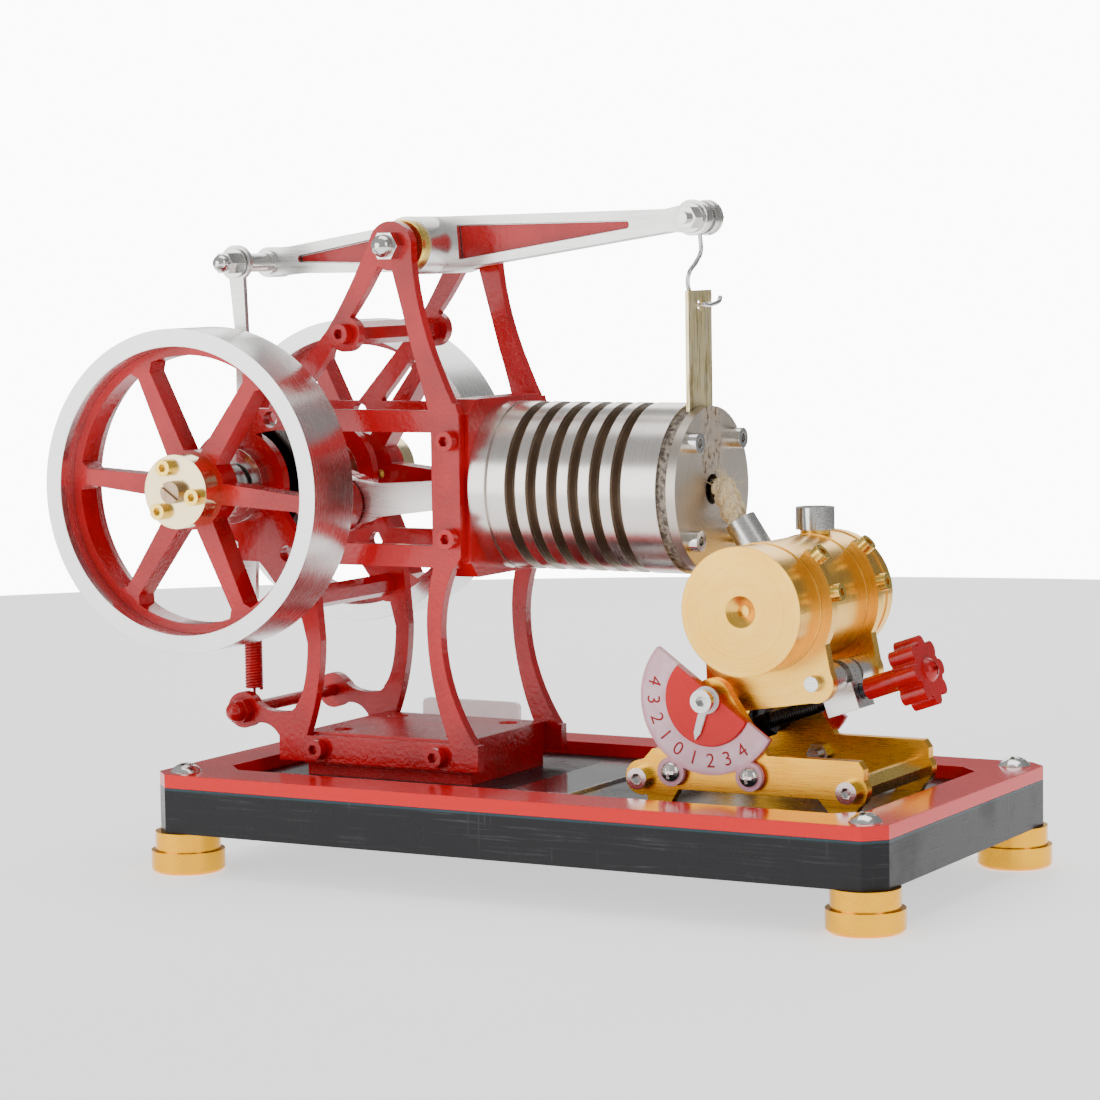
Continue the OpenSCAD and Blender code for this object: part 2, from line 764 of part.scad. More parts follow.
module crank_pin() {
    color(STEEL) place() bar_y(pin, 2.5, -web_gap + gap, web_gap - gap);
}

// ---------------------------------------------------------------- beam and valve gear

// A tapered arm outline along +X from the pivot
module arm_outline(l, h0, h1, end_r) {
    polygon([[0, -h0], [l - 8, -h1], [l, -end_r + 0.3], [l, end_r - 0.3], [l - 8, h1], [0, h0]]);
    translate([l, 0]) circle(r = end_r);
}

// A tapered pocket with a round tip
module pocket(x0, x1, h0, h1) {
    polygon([[x0, -h0], [x1, -h1], [x1, h1], [x0, h0]]);
    translate([x1, 0]) circle(r = h1);
}

module pockets(less = 0) {
    pocket(beam_hub_d / 2 + 1 + less, arm_r - 20, 4.7 - less, 1.1 - less);
    mirror([1, 0]) pocket(beam_hub_d / 2 + 1 + less, arm_l - 11, 4.3 - less, 1 - less);
}

// Puts an outline drawn level about the pivot at the beam's own tilt
module on_beam() {
    translate(pivot) rotate([0, 0, beam_tilt]) children();
}

module beam() {
    web = 2.6;
    fork = 2.2;
    y = beam_t / 2;
    color(SILVER) place() difference() {
        union() {
            slab_y(-y, y) on_beam() {
                arm_outline(arm_r, 7.7, 3, 4.4);
                mirror([1, 0]) arm_outline(arm_l, 7.2, 3.8, 4.2);
            }
            bar_y(pivot, beam_hub_d / 2, -beam_hub_y, beam_hub_y);
        }
        bar_y(pivot, 5.5 + seat, -20, 20);
        both() slab_y(web / 2, y + 1) on_beam() pockets();
        slab_y(-fork / 2, fork / 2) on_beam() translate([arm_r - 6, -10]) square([14, 20]);
        bar_y(beam_r, 1.5 + seat, -20, 20);
        bar_y(beam_l, 1.5 + seat, -20, 20);
    }
}

module beam_inlays() {
    web = 2.6;
    color(RED) place() both() slab_y(web / 2, web / 2 + 0.6) on_beam() pockets(0.25);
}

module beam_bush() {
    color(BRASS) place() difference() {
        union() {
            bar_y(pivot, 5.5, -beam_hub_y, beam_hub_y);
            both() bar_y(pivot, 6.9, beam_hub_y, beam_hub_y + 3);
        }
        bar_y(pivot, 2 + run, -30, 30);
    }
}

module beam_end_pins() {
    y = beam_t / 2;
    eye0 = follow_y - follow_t / 2;
    eye1 = follow_y + follow_t / 2;
    color(SILVER) place() {
        // Pin of the cylinder end with its washers and nuts
        bar_y(beam_r, 1.5, -y - 6.5, y + 6.5);
        both() difference() {
            union() {
                bar_y(beam_r, 4.7, y, y + 1);
                bar_y(beam_r, 3.9, y + 1, y + 2);
                hex_y(beam_r, 5.5, y + 2, y + 4.6);
            }
            bar_y(beam_r, 1.5 + seat, 0, 20);
        }
        // Shouldered pin of the flywheel end
        bar_y(beam_l, 1.5, -eye1 - 6, y + 4);
        difference() {
            union() {
                bar_y(beam_l, 2.6, -eye0 + 0.2, -y);
                bar_y(beam_l, 3.4, -y - 1.2, -y);
                bar_y(beam_l, 4, -eye1 - 1, -eye1 - 0.2);
                hex_y(beam_l, 5.5, -eye1 - 3.6, -eye1 - 1);
                hex_y(beam_l, 5.5, y, y + 2.6);
            }
            bar_y(beam_l, 1.5 + seat, -40, 20);
        }
        translate([beam_l[0], -eye1 - 3.6, beam_l[1]]) rotate([90, 0, 0]) dome_nut(5.5, 3 + 2 * seat, 5.4);
    }
}

module follower_rod() {
    s = [shaft_x, axis_z];
    sweep = cam_r + cam_off;
    in_w = sweep + 0.4;
    out_w = in_w + 1.8;
    top = sweep + 2.4;
    bottom = sweep + gap + arm_l * sin(8.5);
    tail = [lobe[0], axis_z - 32];
    color(SILVER) place() scale_y(-1) difference() {
        union() {
            slab_y(follow_y - follow_t / 2, follow_y + follow_t / 2) {
                translate(beam_l) circle(r = 4.9);
                strip([beam_l + [-2.5, 0], s + [-2.2, 40], s + [-2.6, top + 2]],
                    [beam_l + [2.5, 0], s + [1.4, 40], s + [2.4, top + 2]]);
                strip([s + [-2.6, top + 3], s + [-out_w, top - 4], s + [-out_w, -bottom + 5],
                        s + [-3, -bottom - 2], tail + [-2, 0]],
                    [s + [2.4, top + 3], s + [out_w, top - 4], s + [out_w, -bottom + 5],
                        s + [3, -bottom - 2], tail + [2, 0]]);
            }
            translate([tail[0], follow_y - 0.5, tail[1] - 14]) cylinder(r = 0.7, h = 15);
        }
        slab_y(follow_y - 3, follow_y + 3) translate(s) {
            translate([-in_w, -bottom + 5]) square([2 * in_w, top - 4 + bottom - 5]);
            polygon([[-in_w, top - 4.1], [-3, top], [3, top], [in_w, top - 4.1]]);
            polygon([[-in_w, -bottom + 5.1], [-4, -bottom], [4, -bottom], [in_w, -bottom + 5.1]]);
        }
        bar_y(beam_l, 1.5 + run, follow_y - 5, follow_y + 5);
    }
}

module valve_strip() {
    low = axis_z + port_d / 2 + 0.5;
    h = 47.6;
    color(BRASS) place() difference() {
        translate([strip_x - strip_t / 2, -strip_w / 2, low]) cube([strip_t, strip_w, h]);
        translate([strip_x, 0, low + h - 3.8]) rotate([0, 90, 0]) cylinder(r = 1.5, h = 4, center = true);
    }
}

// A straight length of wire with round ends
module wire(a, b, r) {
    d = b - a;
    l = norm(d);
    translate(a) rotate([0, acos(d[2] / l), atan2(d[1], d[0])]) cylinder(r = r, h = l, $fn = 24);
    translate(b) sphere(r = r, $fn = 24);
}

module valve_wire() {
    r = 0.6;
    hook_z = axis_z + port_d / 2 + 0.5 + 43.8;
    back = strip_x - strip_t / 2 - r - 0.15;
    top = [beam_r[0], 0, beam_r[1] - 2.6];
    path = [top, [beam_r[0], 1.1, beam_r[1] - 8.6], [strip_x, -3, beam_r[1] - 14],
        [back, -2.6, beam_r[1] - 18.4], [back, 0, hook_z], [strip_x + 1.6, 0, hook_z]];
    color(STEEL) place() {
        translate([beam_r[0], 0, beam_r[1]]) rotate([90, 0, 0]) rotate_extrude()
            translate([2.6, 0]) circle(r = r);
        for (i = [0 : len(path) - 2]) wire(path[i], path[i + 1], r);
        translate([strip_x + 1.3, -0.9, hook_z - 0.9]) cube([0.6, 9.6, 1.8]);
    }
}

// ---------------------------------------------------------------- burner stand

module stand_outline() {
    z0 = deck_z;
    z1 = deck_z + 13.7;
    arch = deck_z + 3.5;
    l = stand_x0;
    r = stand_x1;
    difference() {
        union() {
            polygon([[l + 2, z0], [l + 8.6, z0], [l + 10.8, arch], [r - 9, arch], [r - 5.9, z0],
                [r + 1, z0], [r + 3.6, z0 + 4], [r + 3.6, z1 - 2], [r + 2.2, z1], [tilt[0] + 15.5, z1],
                tilt + [4.6, 2.2], tilt + [-4.6, 2.2], [tilt[0] - 14, z1], [l + 3.2, z1], [l - 1, z0 + 9]]);
            translate([l, stand_z]) circle(r = 4.6);
            translate([r, stand_z]) circle(r = 4.6);
            translate(tilt) circle(r = 5.2);
        }
        for (x = [l, r]) translate([x, stand_z]) circle(r = 1.5 + seat);
        for (a = lug_angles) translate(polar(tilt, lug_r, a)) circle(r = 1.5 + seat);
        translate(tilt) circle(r = 1.5 + run);
        translate(post) circle(r = 1.5 + run);
    }
}

module burner_plates() {
    color(GOLD) place() both() slab_y(stand_in, stand_out) stand_outline();
}

module burner_standoffs() {
    color(BRASS) place() for (x = [stand_x0, stand_x1]) difference() {
        hex_y([x, stand_z], 5.5, -stand_in, stand_in, 12);
        both() bar_y([x, stand_z], 1.5 + seat, stand_in - 6, stand_in + 1);
    }
}

module burner_screws() {
    color(SILVER) place() both() for (x = [stand_x0, stand_x1])
        translate([x, stand_out, stand_z]) rotate([-90, 0, 0]) socket_screw(5.7, 3, 3, plate_t + 5.5, 2.5);
}

// Everything below the slanting edge of a dial
module dial_half(r) {
    intersection() {
        circle(r = r);
        rotate([0, 0, -35.5]) translate([-30, 2 - 60]) square([60, 60]);
    }
}

module dial_plates() {
    color("#f3b9bf") place() both() slab_y(stand_out, stand_out + 2) difference() {
        union() {
            translate(tilt) dial_half(dial_r);
            for (a = lug_angles) translate(polar(tilt, lug_r, a)) circle(r = 3.8);
        }
        translate(tilt) circle(r = 2.2);
        for (a = lug_angles) translate(polar(tilt, lug_r, a)) circle(r = 1.5 + seat);
    }
}

module dial_sectors() {
    color(RED) place() both() slab_y(stand_out + 2, stand_out + 2.8) translate(tilt) difference() {
        dial_half(dial_in);
        circle(r = 2.2);
    }
}

module dial_screws() {
    color(SILVER) place() both() for (a = lug_angles) {
        p = polar(tilt, lug_r, a);
        translate([p[0], stand_out + 2, p[1]]) rotate([-90, 0, 0]) pan_screw(5.6, 2, 3, plate_t + 2 + 4.4);
        difference() {
            hex_y(p, 5.5, stand_in - 2.4, stand_in);
            bar_y(p, 1.5 + seat, stand_in - 5, stand_in + 1);
        }
    }
}

// ---------------------------------------------------------------- tilting cradle

module arm_shape() {
    band = tank_d / 2 + 2.9;
    difference() {
        union() {
            intersection() {
                translate(tank) circle(r = band);
                polygon(concat([tank], [for (a = [-160 : 20 : 40]) polar(tank, 40, a)],
                    [polar(tank, 40, clamp_angles[1] + 9)]));
            }
            translate(tilt) circle(r = 4.8);
            translate(lift) circle(r = 5.2);
            polygon([tilt + [-4.6, 1], tilt + [0, -4.7], lift + [-0.5, -5.1], lift + [5, 0],
                polar(tank, band - 0.5, -25), tank, polar(tank, band - 0.5, -150)]);
        }
        translate(tank) circle(r = tank_d / 2 + seat);
        translate(tilt) circle(r = 1.5 + seat);
        translate(lift) circle(r = 2 + seat);
    }
}

module at_clamps() {
    for (a = clamp_angles) both() {
        p = polar(tank, tank_d / 2 + 2.9, a);
        translate([p[0], (arm_y[0] + arm_y[1]) / 2, p[1]]) rotate([0, 90 - a, 0]) children();
    }
}

module cradle_arms() {
    color(GOLD) place() difference() {
        both() slab_y(arm_y[0], arm_y[1]) arm_shape();
        at_clamps() translate([0, 0, -6]) cylinder(r = 1.1 + seat, h = 12);
    }
}

module clamp_screws() {
    color(BRASS) place() at_clamps() socket_screw(4.5, 2.6, 2.2, 2.9 - 0.1, 2);
}

module spirit_tank() {
    end_t = 3.2;
    y = tank_l / 2;
    r = tank_d / 2;
    filler = 16.6;
    color(GOLD) place() difference() {
        union() {
            bar_y(tank, r - 0.3, -y + end_t - seat, y - end_t + seat);
            both() bar_y(tank, r, y - end_t, y);
            translate([tank[0], 0, tank[1]]) both() bar_y([0, 0], r, arm_y[0] - 0.4, arm_y[1] + 0.4);
            translate([tank[0], filler, tank[1] + r - 3]) cylinder(r = 4, h = 3 + 4.2);
        }
        bar_y(tank, r - 1.6, -y + end_t, y - end_t);
        translate([tank[0], filler, tank[1]]) cylinder(r = 2.6, h = r + 10);
        translate([tank[0], 0, tank[1]]) rotate([0, 90 - tube_angle, 0])
            cylinder(r = tube_d / 2 + seat, h = r + 10);
        both() translate([tank[0], y, tank[1]]) rotate([90, 0, 0]) {
            translate([0, 0, -1]) cylinder(r = 1.6, h = 4);
            translate([0, 0, -seat]) cylinder(r1 = 4.15, r2 = 1.6, h = 1.8);
        }
    }
}

module wick_tube() {
    r = tube_d / 2;
    color(SILVER) place() translate([tank[0], 0, tank[1]]) rotate([0, 90 - tube_angle, 0])
        translate([0, 0, tank_d / 2 - 3]) difference() {
            cylinder(r = r, h = 11.2);
            translate([0, 0, -1]) cylinder(r = r - 0.7, h = 14);
        }
}

module wick() {
    r = tube_d / 2 - 0.9;
    bend = polar(tank, tank_d / 2 + 7.5, tube_angle);
    tip = [cap_x1 + 1.2, axis_z + 0.6];
    run_x = bend[0] - tip[0];
    run_z = tip[1] - bend[1];
    color("#e9dcc0") place() {
        translate([tank[0], 0, tank[1]]) rotate([0, 90 - tube_angle, 0])
            translate([0, 0, 4]) cylinder(r = r, h = tank_d / 2 + 5.5);
        translate([bend[0], 0, bend[1]]) rotate([0, -atan2(run_x, run_z), 0])
            cylinder(r = r - 0.4, h = norm([run_x, run_z]));
    }
}

module cradle_pin() {
    color(SILVER) place() {
        bar_y(lift, 2, -arm_y[1] - 2.3, arm_y[1] + 2.3);
        both() difference() {
            bar_y(lift, 4.2, 5.2, arm_y[0]);
            bar_y(lift, 2 + seat, 0, 20);
        }
    }
}

module pivot_screws() {
    head = stand_out + 3.7;
    color(SILVER) place() both() {
        translate([tilt[0], head, tilt[1]]) rotate([-90, 0, 0]) socket_screw(6, 3, 3, head - arm_y[0], 2.5);
        difference() {
            bar_y(tilt, 3.4, arm_y[1], stand_in - gap);
            bar_y(tilt, 1.5 + seat, 0, 40);
        }
    }
}

module dial_pointers() {
    y0 = stand_out + 3.1;
    color("white") place() both() slab_y(y0, y0 + 0.6) translate(tilt) difference() {
        union() {
            circle(r = 3.6);
            rotate([0, 0, -107]) polygon([[0, -1.2], [9, -0.9], [11, 0], [9, 0.9], [0, 1.2]]);
        }
        circle(r = 1.5 + seat);
    }
}

// Draws in the adjuster's own plane: X along its line, Z across it, the post at the origin
module along_adjuster() {
    translate([post[0], 0, post[1]]) rotate([0, -adj_angle, 0]) children();
}

module swivel_block() {
    half = 4.6;
    color(SILVER) place() along_adjuster() difference() {
        union() {
            slab_y(-4.9, 4.9) translate([adj_len - half, -4.2]) square([2 * half, 7.2]);
            slab_y(-2.6, 2.6) union() {
                translate([adj_len - half, -4]) square([2 * half, drop + 4]);
                translate([adj_len, drop]) circle(r = half);
            }
        }
        translate([adj_len, 0, drop]) rotate([90, 0, 0]) cylinder(r = 2 + run, h = 20, center = true);
        rotate([0, 90, 0]) cylinder(r = adj_d / 2 + 0.2, h = 100);
    }
}

module swivel_post() {
    color("#3a3a3d") place() difference() {
        union() {
            bar_y(post, 3.5, -stand_in + 0.3, stand_in - 0.3);
            bar_y(post, 1.5, -stand_out + 0.3, stand_out - 0.3);
        }
        along_adjuster() rotate([0, 90, 0]) cylinder(r = adj_d / 2 + run, h = 20, center = true);
    }
}

module adjuster_screw() {
    color(BLACK) place() along_adjuster() rotate([0, 90, 0]) {
        translate([0, 0, -9]) cylinder(r = adj_d / 2, h = 9 + knob_at + knob_t - 2);
        for (s = [0, 1]) mirror([0, 0, s]) translate([0, 0, 3.5 + gap]) difference() {
            union() {
                cylinder(r = 4.6, h = 1.1);
                translate([0, 0, 1.1]) cylinder(r = 7 / sqrt(3), h = 3.3, $fn = 6);
            }
            translate([0, 0, -1]) cylinder(r = adj_d / 2 + seat, h = 9);
        }
    }
}

module star_knob() {
    r = knob_d / 2;
    lobe_r = 2.1;
    color(RED) place() along_adjuster() rotate([0, 90, 0]) {
        difference() {
            union() {
                translate([0, 0, adj_len + 6.4]) cylinder(r = 2.9, h = knob_at - adj_len - 6.4 + seat);
                translate([0, 0, knob_at]) linear_extrude(knob_t) union() {
                    circle(r = r - lobe_r);
                    for (i = [0 : knob_lobes - 1]) rotate([0, 0, i * 360 / knob_lobes])
                        translate([r - lobe_r, 0]) circle(r = lobe_r);
                }
            }
            translate([0, 0, -20]) cylinder(r = adj_d / 2 + seat, h = 20 + knob_at + knob_t - 1.9);
        }
        translate([0, 0, knob_at + knob_t]) pan_screw(6.5, 2.2, 2, 1.5);
    }
}

module filler_cap() {
    filler = 16.6;
    z = tank[1] + tank_d / 2 + 0.8;
    color(SILVER) place() translate([tank[0], filler, z]) difference() {
        cylinder(r = 5.15, h = 5.9);
        translate([0, 0, -1]) cylinder(r = 4 + run, h = 5);
    }
}

base_slab();
base_frame();
feet();
base_screws();
nameplate();
rear_tab();
pedestal();
side_frame_front();
side_frame_rear();
frame_bolts();
cross_posts();
lobe_nuts();
bearing_outers();
cylinder_plate();
cylinder_node();  // cylinder
valve_guide();
end_cap();
cap_screws();
beam_pin();
beam_pin_nuts();
return_spring();
crankshaft();
crank_webs();
shaft_collars();
bearing_inners();
flywheel_rims();
flywheel_centres();
flywheel_hubs();
hub_screws();
cam_disc();
piston();
wrist_pin();
connecting_rod();
crank_pin();
beam();
beam_inlays();
beam_bush();
beam_end_pins();
follower_rod();
valve_strip();
valve_wire();
burner_plates();
burner_standoffs();
burner_screws();
dial_plates();
dial_sectors();
dial_screws();
cradle_arms();
spirit_tank();
clamp_screws();
wick_tube();
wick();
cradle_pin();
pivot_screws();
dial_pointers();
swivel_block();
swivel_post();
adjuster_screw();
star_knob();
filler_cap();
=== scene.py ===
"""Looks of a desk-top vacuum engine with a rocking beam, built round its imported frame.

Every sub-assembly is a class that holds its sizes in metres, makes the pieces the frame does not
carry (coil spring, braided wick, threads, knurling, dial figures) and gives each part its finish.
Lengths are metres, +X runs from the wheels to the burner, +Z is up.
"""

import json
import logging
import math
from dataclasses import dataclass, field
from enum import Enum
from typing import Any, Sequence

import bpy
import numpy as np
from mathutils import Matrix, Vector

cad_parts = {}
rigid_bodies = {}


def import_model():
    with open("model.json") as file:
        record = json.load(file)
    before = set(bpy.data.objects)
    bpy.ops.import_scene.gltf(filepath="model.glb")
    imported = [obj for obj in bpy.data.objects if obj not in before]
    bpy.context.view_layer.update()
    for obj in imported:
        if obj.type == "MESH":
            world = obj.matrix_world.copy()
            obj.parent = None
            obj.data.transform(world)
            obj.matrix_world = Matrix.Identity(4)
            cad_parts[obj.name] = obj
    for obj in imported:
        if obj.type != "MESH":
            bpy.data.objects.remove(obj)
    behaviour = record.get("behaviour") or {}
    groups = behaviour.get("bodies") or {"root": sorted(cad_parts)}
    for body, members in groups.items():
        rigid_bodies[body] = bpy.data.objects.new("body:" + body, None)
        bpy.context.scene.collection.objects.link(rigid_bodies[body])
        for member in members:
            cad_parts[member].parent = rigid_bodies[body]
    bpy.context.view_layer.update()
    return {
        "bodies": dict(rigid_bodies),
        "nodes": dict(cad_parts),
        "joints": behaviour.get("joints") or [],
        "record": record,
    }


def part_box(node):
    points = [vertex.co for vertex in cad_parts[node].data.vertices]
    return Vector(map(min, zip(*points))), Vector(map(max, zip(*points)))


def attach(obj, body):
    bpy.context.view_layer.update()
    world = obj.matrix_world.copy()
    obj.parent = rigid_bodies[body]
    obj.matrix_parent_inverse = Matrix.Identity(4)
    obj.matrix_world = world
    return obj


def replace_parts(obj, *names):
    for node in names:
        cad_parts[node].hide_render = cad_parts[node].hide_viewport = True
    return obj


LOG = logging.getLogger("engine")
MM = 0.001


# ------------------------------------------------------------------ shader graph


class Sock:
    """One output socket of a node, with arithmetic that adds Math nodes."""

    def __init__(self, graph: "Graph", socket: bpy.types.NodeSocket) -> None:
        """Wraps a socket of a graph."""
        self.graph = graph
        self.socket = socket

    def math(self, operation: str, *others: Any) -> "Sock":
        """Adds a Math node.

        Args:
            operation: the Math node's operation.
            others: the second and third values, as numbers or sockets.

        Returns:
            The node's result.
        """
        values = {i: v for i, v in enumerate((self, *others))}
        return self.graph.node("ShaderNodeMath", {"operation": operation}, values)["Value"]

    def __add__(self, other: Any) -> "Sock":
        """Sum."""
        return self.math("ADD", other)

    def __mul__(self, other: Any) -> "Sock":
        """Product."""
        return self.math("MULTIPLY", other)

    def __sub__(self, other: Any) -> "Sock":
        """Difference."""
        return self.math("SUBTRACT", other)

    def __rsub__(self, other: Any) -> "Sock":
        """Difference with this value taken away."""
        return self.math("MULTIPLY_ADD", -1.0, other)

    def __pow__(self, other: Any) -> "Sock":
        """Power."""
        return self.math("POWER", other)

    def band(self, low: float, high: float) -> "Sock":
        """A smooth step from 0 at low to 1 at high."""
        settings = {"interpolation_type": "SMOOTHSTEP"}
        inputs = {"Value": self, "From Min": low, "From Max": high}
        return self.graph.node("ShaderNodeMapRange", settings, inputs)["Result"]


class Outs:
    """The outputs of a node, found by name."""

    def __init__(self, graph: "Graph", node: bpy.types.Node) -> None:
        """Wraps a node of a graph."""
        self.graph = graph
        self.outputs = node.outputs

    def __getitem__(self, name: str) -> Sock:
        """The enabled output of that name."""
        return Sock(self.graph, next(s for s in self.outputs if s.name == name and s.enabled))


class Graph:
    """A material's node tree with one Principled shader."""

    def __init__(self, name: str) -> None:
        """Makes an empty material of that name."""
        self.material = bpy.data.materials.new(name)
        self.material.use_nodes = True
        self.tree = self.material.node_tree
        self.tree.nodes.clear()
        self.shader = self.tree.nodes.new("ShaderNodeBsdfPrincipled")
        output = self.tree.nodes.new("ShaderNodeOutputMaterial")
        self.tree.links.new(self.shader.outputs["BSDF"], output.inputs["Surface"])

    def feed(self, node: bpy.types.Node, inputs: dict) -> None:
        """Sets or links a node's inputs.

        Args:
            node: the node.
            inputs: value, colour or Sock for each input's name or number.
        """
        for key, value in inputs.items():
            if isinstance(key, int):
                target = node.inputs[key]
            else:
                target = next(s for s in node.inputs if s.name == key and s.enabled)
            if isinstance(value, Sock):
                self.tree.links.new(value.socket, target)
            elif isinstance(value, tuple) and len(value) == 3 and target.type == "RGBA":
                target.default_value = (*value, 1.0)
            else:
                target.default_value = value

    def node(self, kind: str, settings: dict | None = None, inputs: dict | None = None) -> Outs:
        """Adds any node.

        Args:
            kind: the node's type.
            settings: its properties, set first; "stops" holds a ramp's positions and colours.
            inputs: its inputs' values or links.

        Returns:
            The node's outputs.
        """
        made = self.tree.nodes.new(kind)
        for key, value in (settings or {}).items():
            if key == "stops":
                ramp = made.color_ramp
                while len(ramp.elements) < len(value):
                    ramp.elements.new(0.5)
                for element, (place, colour) in zip(ramp.elements, value):
                    element.position = place
                    element.color = (*colour, 1.0)
            else:
                setattr(made, key, value)
        self.feed(made, inputs or {})
        return Outs(self, made)

    def place(self) -> Sock:
        """The point's own coordinates in metres."""
        return self.node("ShaderNodeTexCoord")["Object"]

    def moved(self, centre: Sequence[float], stretch: Sequence[float] = (1, 1, 1)) -> Sock:
        """Object coordinates from a centre, stretched along each axis.

        Args:
            centre: the point that becomes the origin.
            stretch: factor along X, Y and Z.

        Returns:
            The vector.
        """
        shift = tuple(-c * s for c, s in zip(centre, stretch))
        inputs = {"Vector": self.place(), "Location": shift, "Scale": tuple(stretch)}
        return self.node("ShaderNodeMapping", None, inputs)["Vector"]

    def axes(self, vector: Sock) -> tuple[Sock, Sock, Sock]:
        """The three parts of a vector."""
        parts = self.node("ShaderNodeSeparateXYZ", None, {"Vector": vector})
        return parts["X"], parts["Y"], parts["Z"]

    def noise(self, vector: Sock, scale: float, detail: float = 3.0, rough: float = 0.5) -> Sock:
        """Fractal noise between 0 and 1.

        Args:
            vector: where it is read.
            scale: features per unit.
            detail: octaves.
            rough: weight of the finer octaves.

        Returns:
            The value.
        """
        inputs = {"Vector": vector, "Scale": scale, "Detail": detail, "Roughness": rough}
        return self.node("ShaderNodeTexNoise", None, inputs)["Fac"]

    def blend(self, factor: Any, low: Any, high: Any, kind: str = "MIX") -> Sock:
        """Mixes two colours.

        Args:
            factor: 0 for low, 1 for high.
            low: colour or link.
            high: colour or link.
            kind: the Mix node's blend type.

        Returns:
            The colour.
        """
        settings = {"data_type": "RGBA", "blend_type": kind}
        made = self.node("ShaderNodeMix", settings, {"Factor": factor, "A": low, "B": high})
        return made["Result"]

    def relief(self, height: Sock, depth: float, edge: float = 0.0) -> Sock:
        """A bumped normal.

        Args:
            height: the height from 0 to 1.
            depth: what a height of 1 stands for, in metres.
            edge: radius that sharp edges are shaded with, or 0.

        Returns:
            The normal.
        """
        inputs: dict = {"Height": height, "Strength": 1.0, "Distance": depth}
        if edge > 0:
            inputs["Normal"] = self.rounded(edge)
        return self.node("ShaderNodeBump", None, inputs)["Normal"]

    def rounded(self, radius: float) -> Sock:
        """A normal that shades sharp edges as if they were rounded."""
        return self.node("ShaderNodeBevel", {"samples": 4}, {"Radius": radius})["Normal"]

    def finish(self, **inputs: Any) -> bpy.types.Material:
        """Feeds the shader and hands the material over.

        Args:
            inputs: the shader's inputs, with _ for the blanks in their names.

        Returns:
            The material.
        """
        self.feed(self.shader, {k.replace("_", " "): v for k, v in inputs.items()})
        return self.material


# ------------------------------------------------------------------ finishes

Colour = tuple[float, float, float]


class Lay(Enum):
    """Which way the fine lines of a machined surface run."""

    ALONG_X = (0.03, 1.0, 1.0)
    ALONG_Z = (1.0, 1.0, 0.03)
    NONE = (1.0, 1.0, 1.0)


@dataclass(frozen=True)
class Enamel:
    """Thick glossy paint with a fine orange peel and slightly thinner colour in places."""

    name: str
    colour: Colour
    deep: Colour
    roughness: float = 0.24
    peel: float = 0.14 * MM
    grain: float = 780.0
    edge: float = 0.35 * MM

    def build(self) -> bpy.types.Material:
        """Makes the material."""
        g = Graph(self.name)
        p = g.place()
        cloud = g.noise(p, 55.0, 3.0)
        fine = g.noise(p, self.grain, 2.0)
        colour = g.blend(cloud.band(0.35, 0.7), self.colour, self.deep)
        rough = cloud * 0.12 + fine * 0.1 + (self.roughness - 0.1)
        return g.finish(
            Base_Color=colour,
            Roughness=rough,
            Specular_IOR_Level=0.3,
            Coat_Weight=0.3,
            Coat_Roughness=0.1,
            Normal=g.relief(fine, self.peel, self.edge),
        )


@dataclass(frozen=True)
class GlossPlate:
    """Smooth glossy sheet plastic."""

    name: str
    colour: Colour
    roughness: float = 0.08
    edge: float = 0.3 * MM

    def build(self) -> bpy.types.Material:
        """Makes the material."""
        g = Graph(self.name)
        p = g.place()
        smear = g.noise(p, 24.0, 4.0, 0.6)
        dust = g.noise(p, 2600.0, 1.0).band(0.68, 0.78)
        colour = g.blend(dust * 0.25, self.colour, tuple(min(1.0, c * 1.5 + 0.05) for c in self.colour))
        return g.finish(
            Base_Color=colour,
            Roughness=smear * 0.1 + dust * 0.2 + self.roughness,
            Normal=g.relief(smear, 0.03 * MM, self.edge),
            Specular_IOR_Level=0.35,
        )


@dataclass(frozen=True)
class SlabBlack:
    """Near-black sheet with faint upright scratches, pale scuffs and a thin bluish film at its top edge."""

    name: str
    top: float
    colour: Colour = (0.012, 0.012, 0.014)
    film_depth: float = 0.9 * MM

    def build(self) -> bpy.types.Material:
        """Makes the material."""
        g = Graph(self.name)
        p = g.place()
        z = g.axes(p)[2]
        level = g.noise(g.moved((0, 0, 0), (45.0, 45.0, 1500.0)), 1.0, 3.0).band(0.56, 0.72)
        upright = g.noise(g.moved((0, 0, 0), (900.0, 900.0, 60.0)), 1.0, 2.0).band(0.62, 0.8)
        lines = level.math("MAXIMUM", upright)
        patch = g.noise(p, 42.0, 4.0, 0.65).band(0.42, 0.7)
        scuff = lines * patch
        film = z.band(self.top - self.film_depth, self.top - 0.5 * MM)
        film = film * (1.0 - z.band(self.top - 0.15 * MM, self.top))
        colour = g.blend(scuff * 0.6, self.colour, (0.1, 0.1, 0.105))
        colour = g.blend(film * 0.55, colour, (0.03, 0.09, 0.11))
        return g.finish(
            Base_Color=colour,
            Specular_IOR_Level=0.22,
            Roughness=patch * 0.16 + scuff * 0.2 + 0.26,
            Normal=g.relief(lines + patch * 0.6, 0.02 * MM, 0.35 * MM),
        )


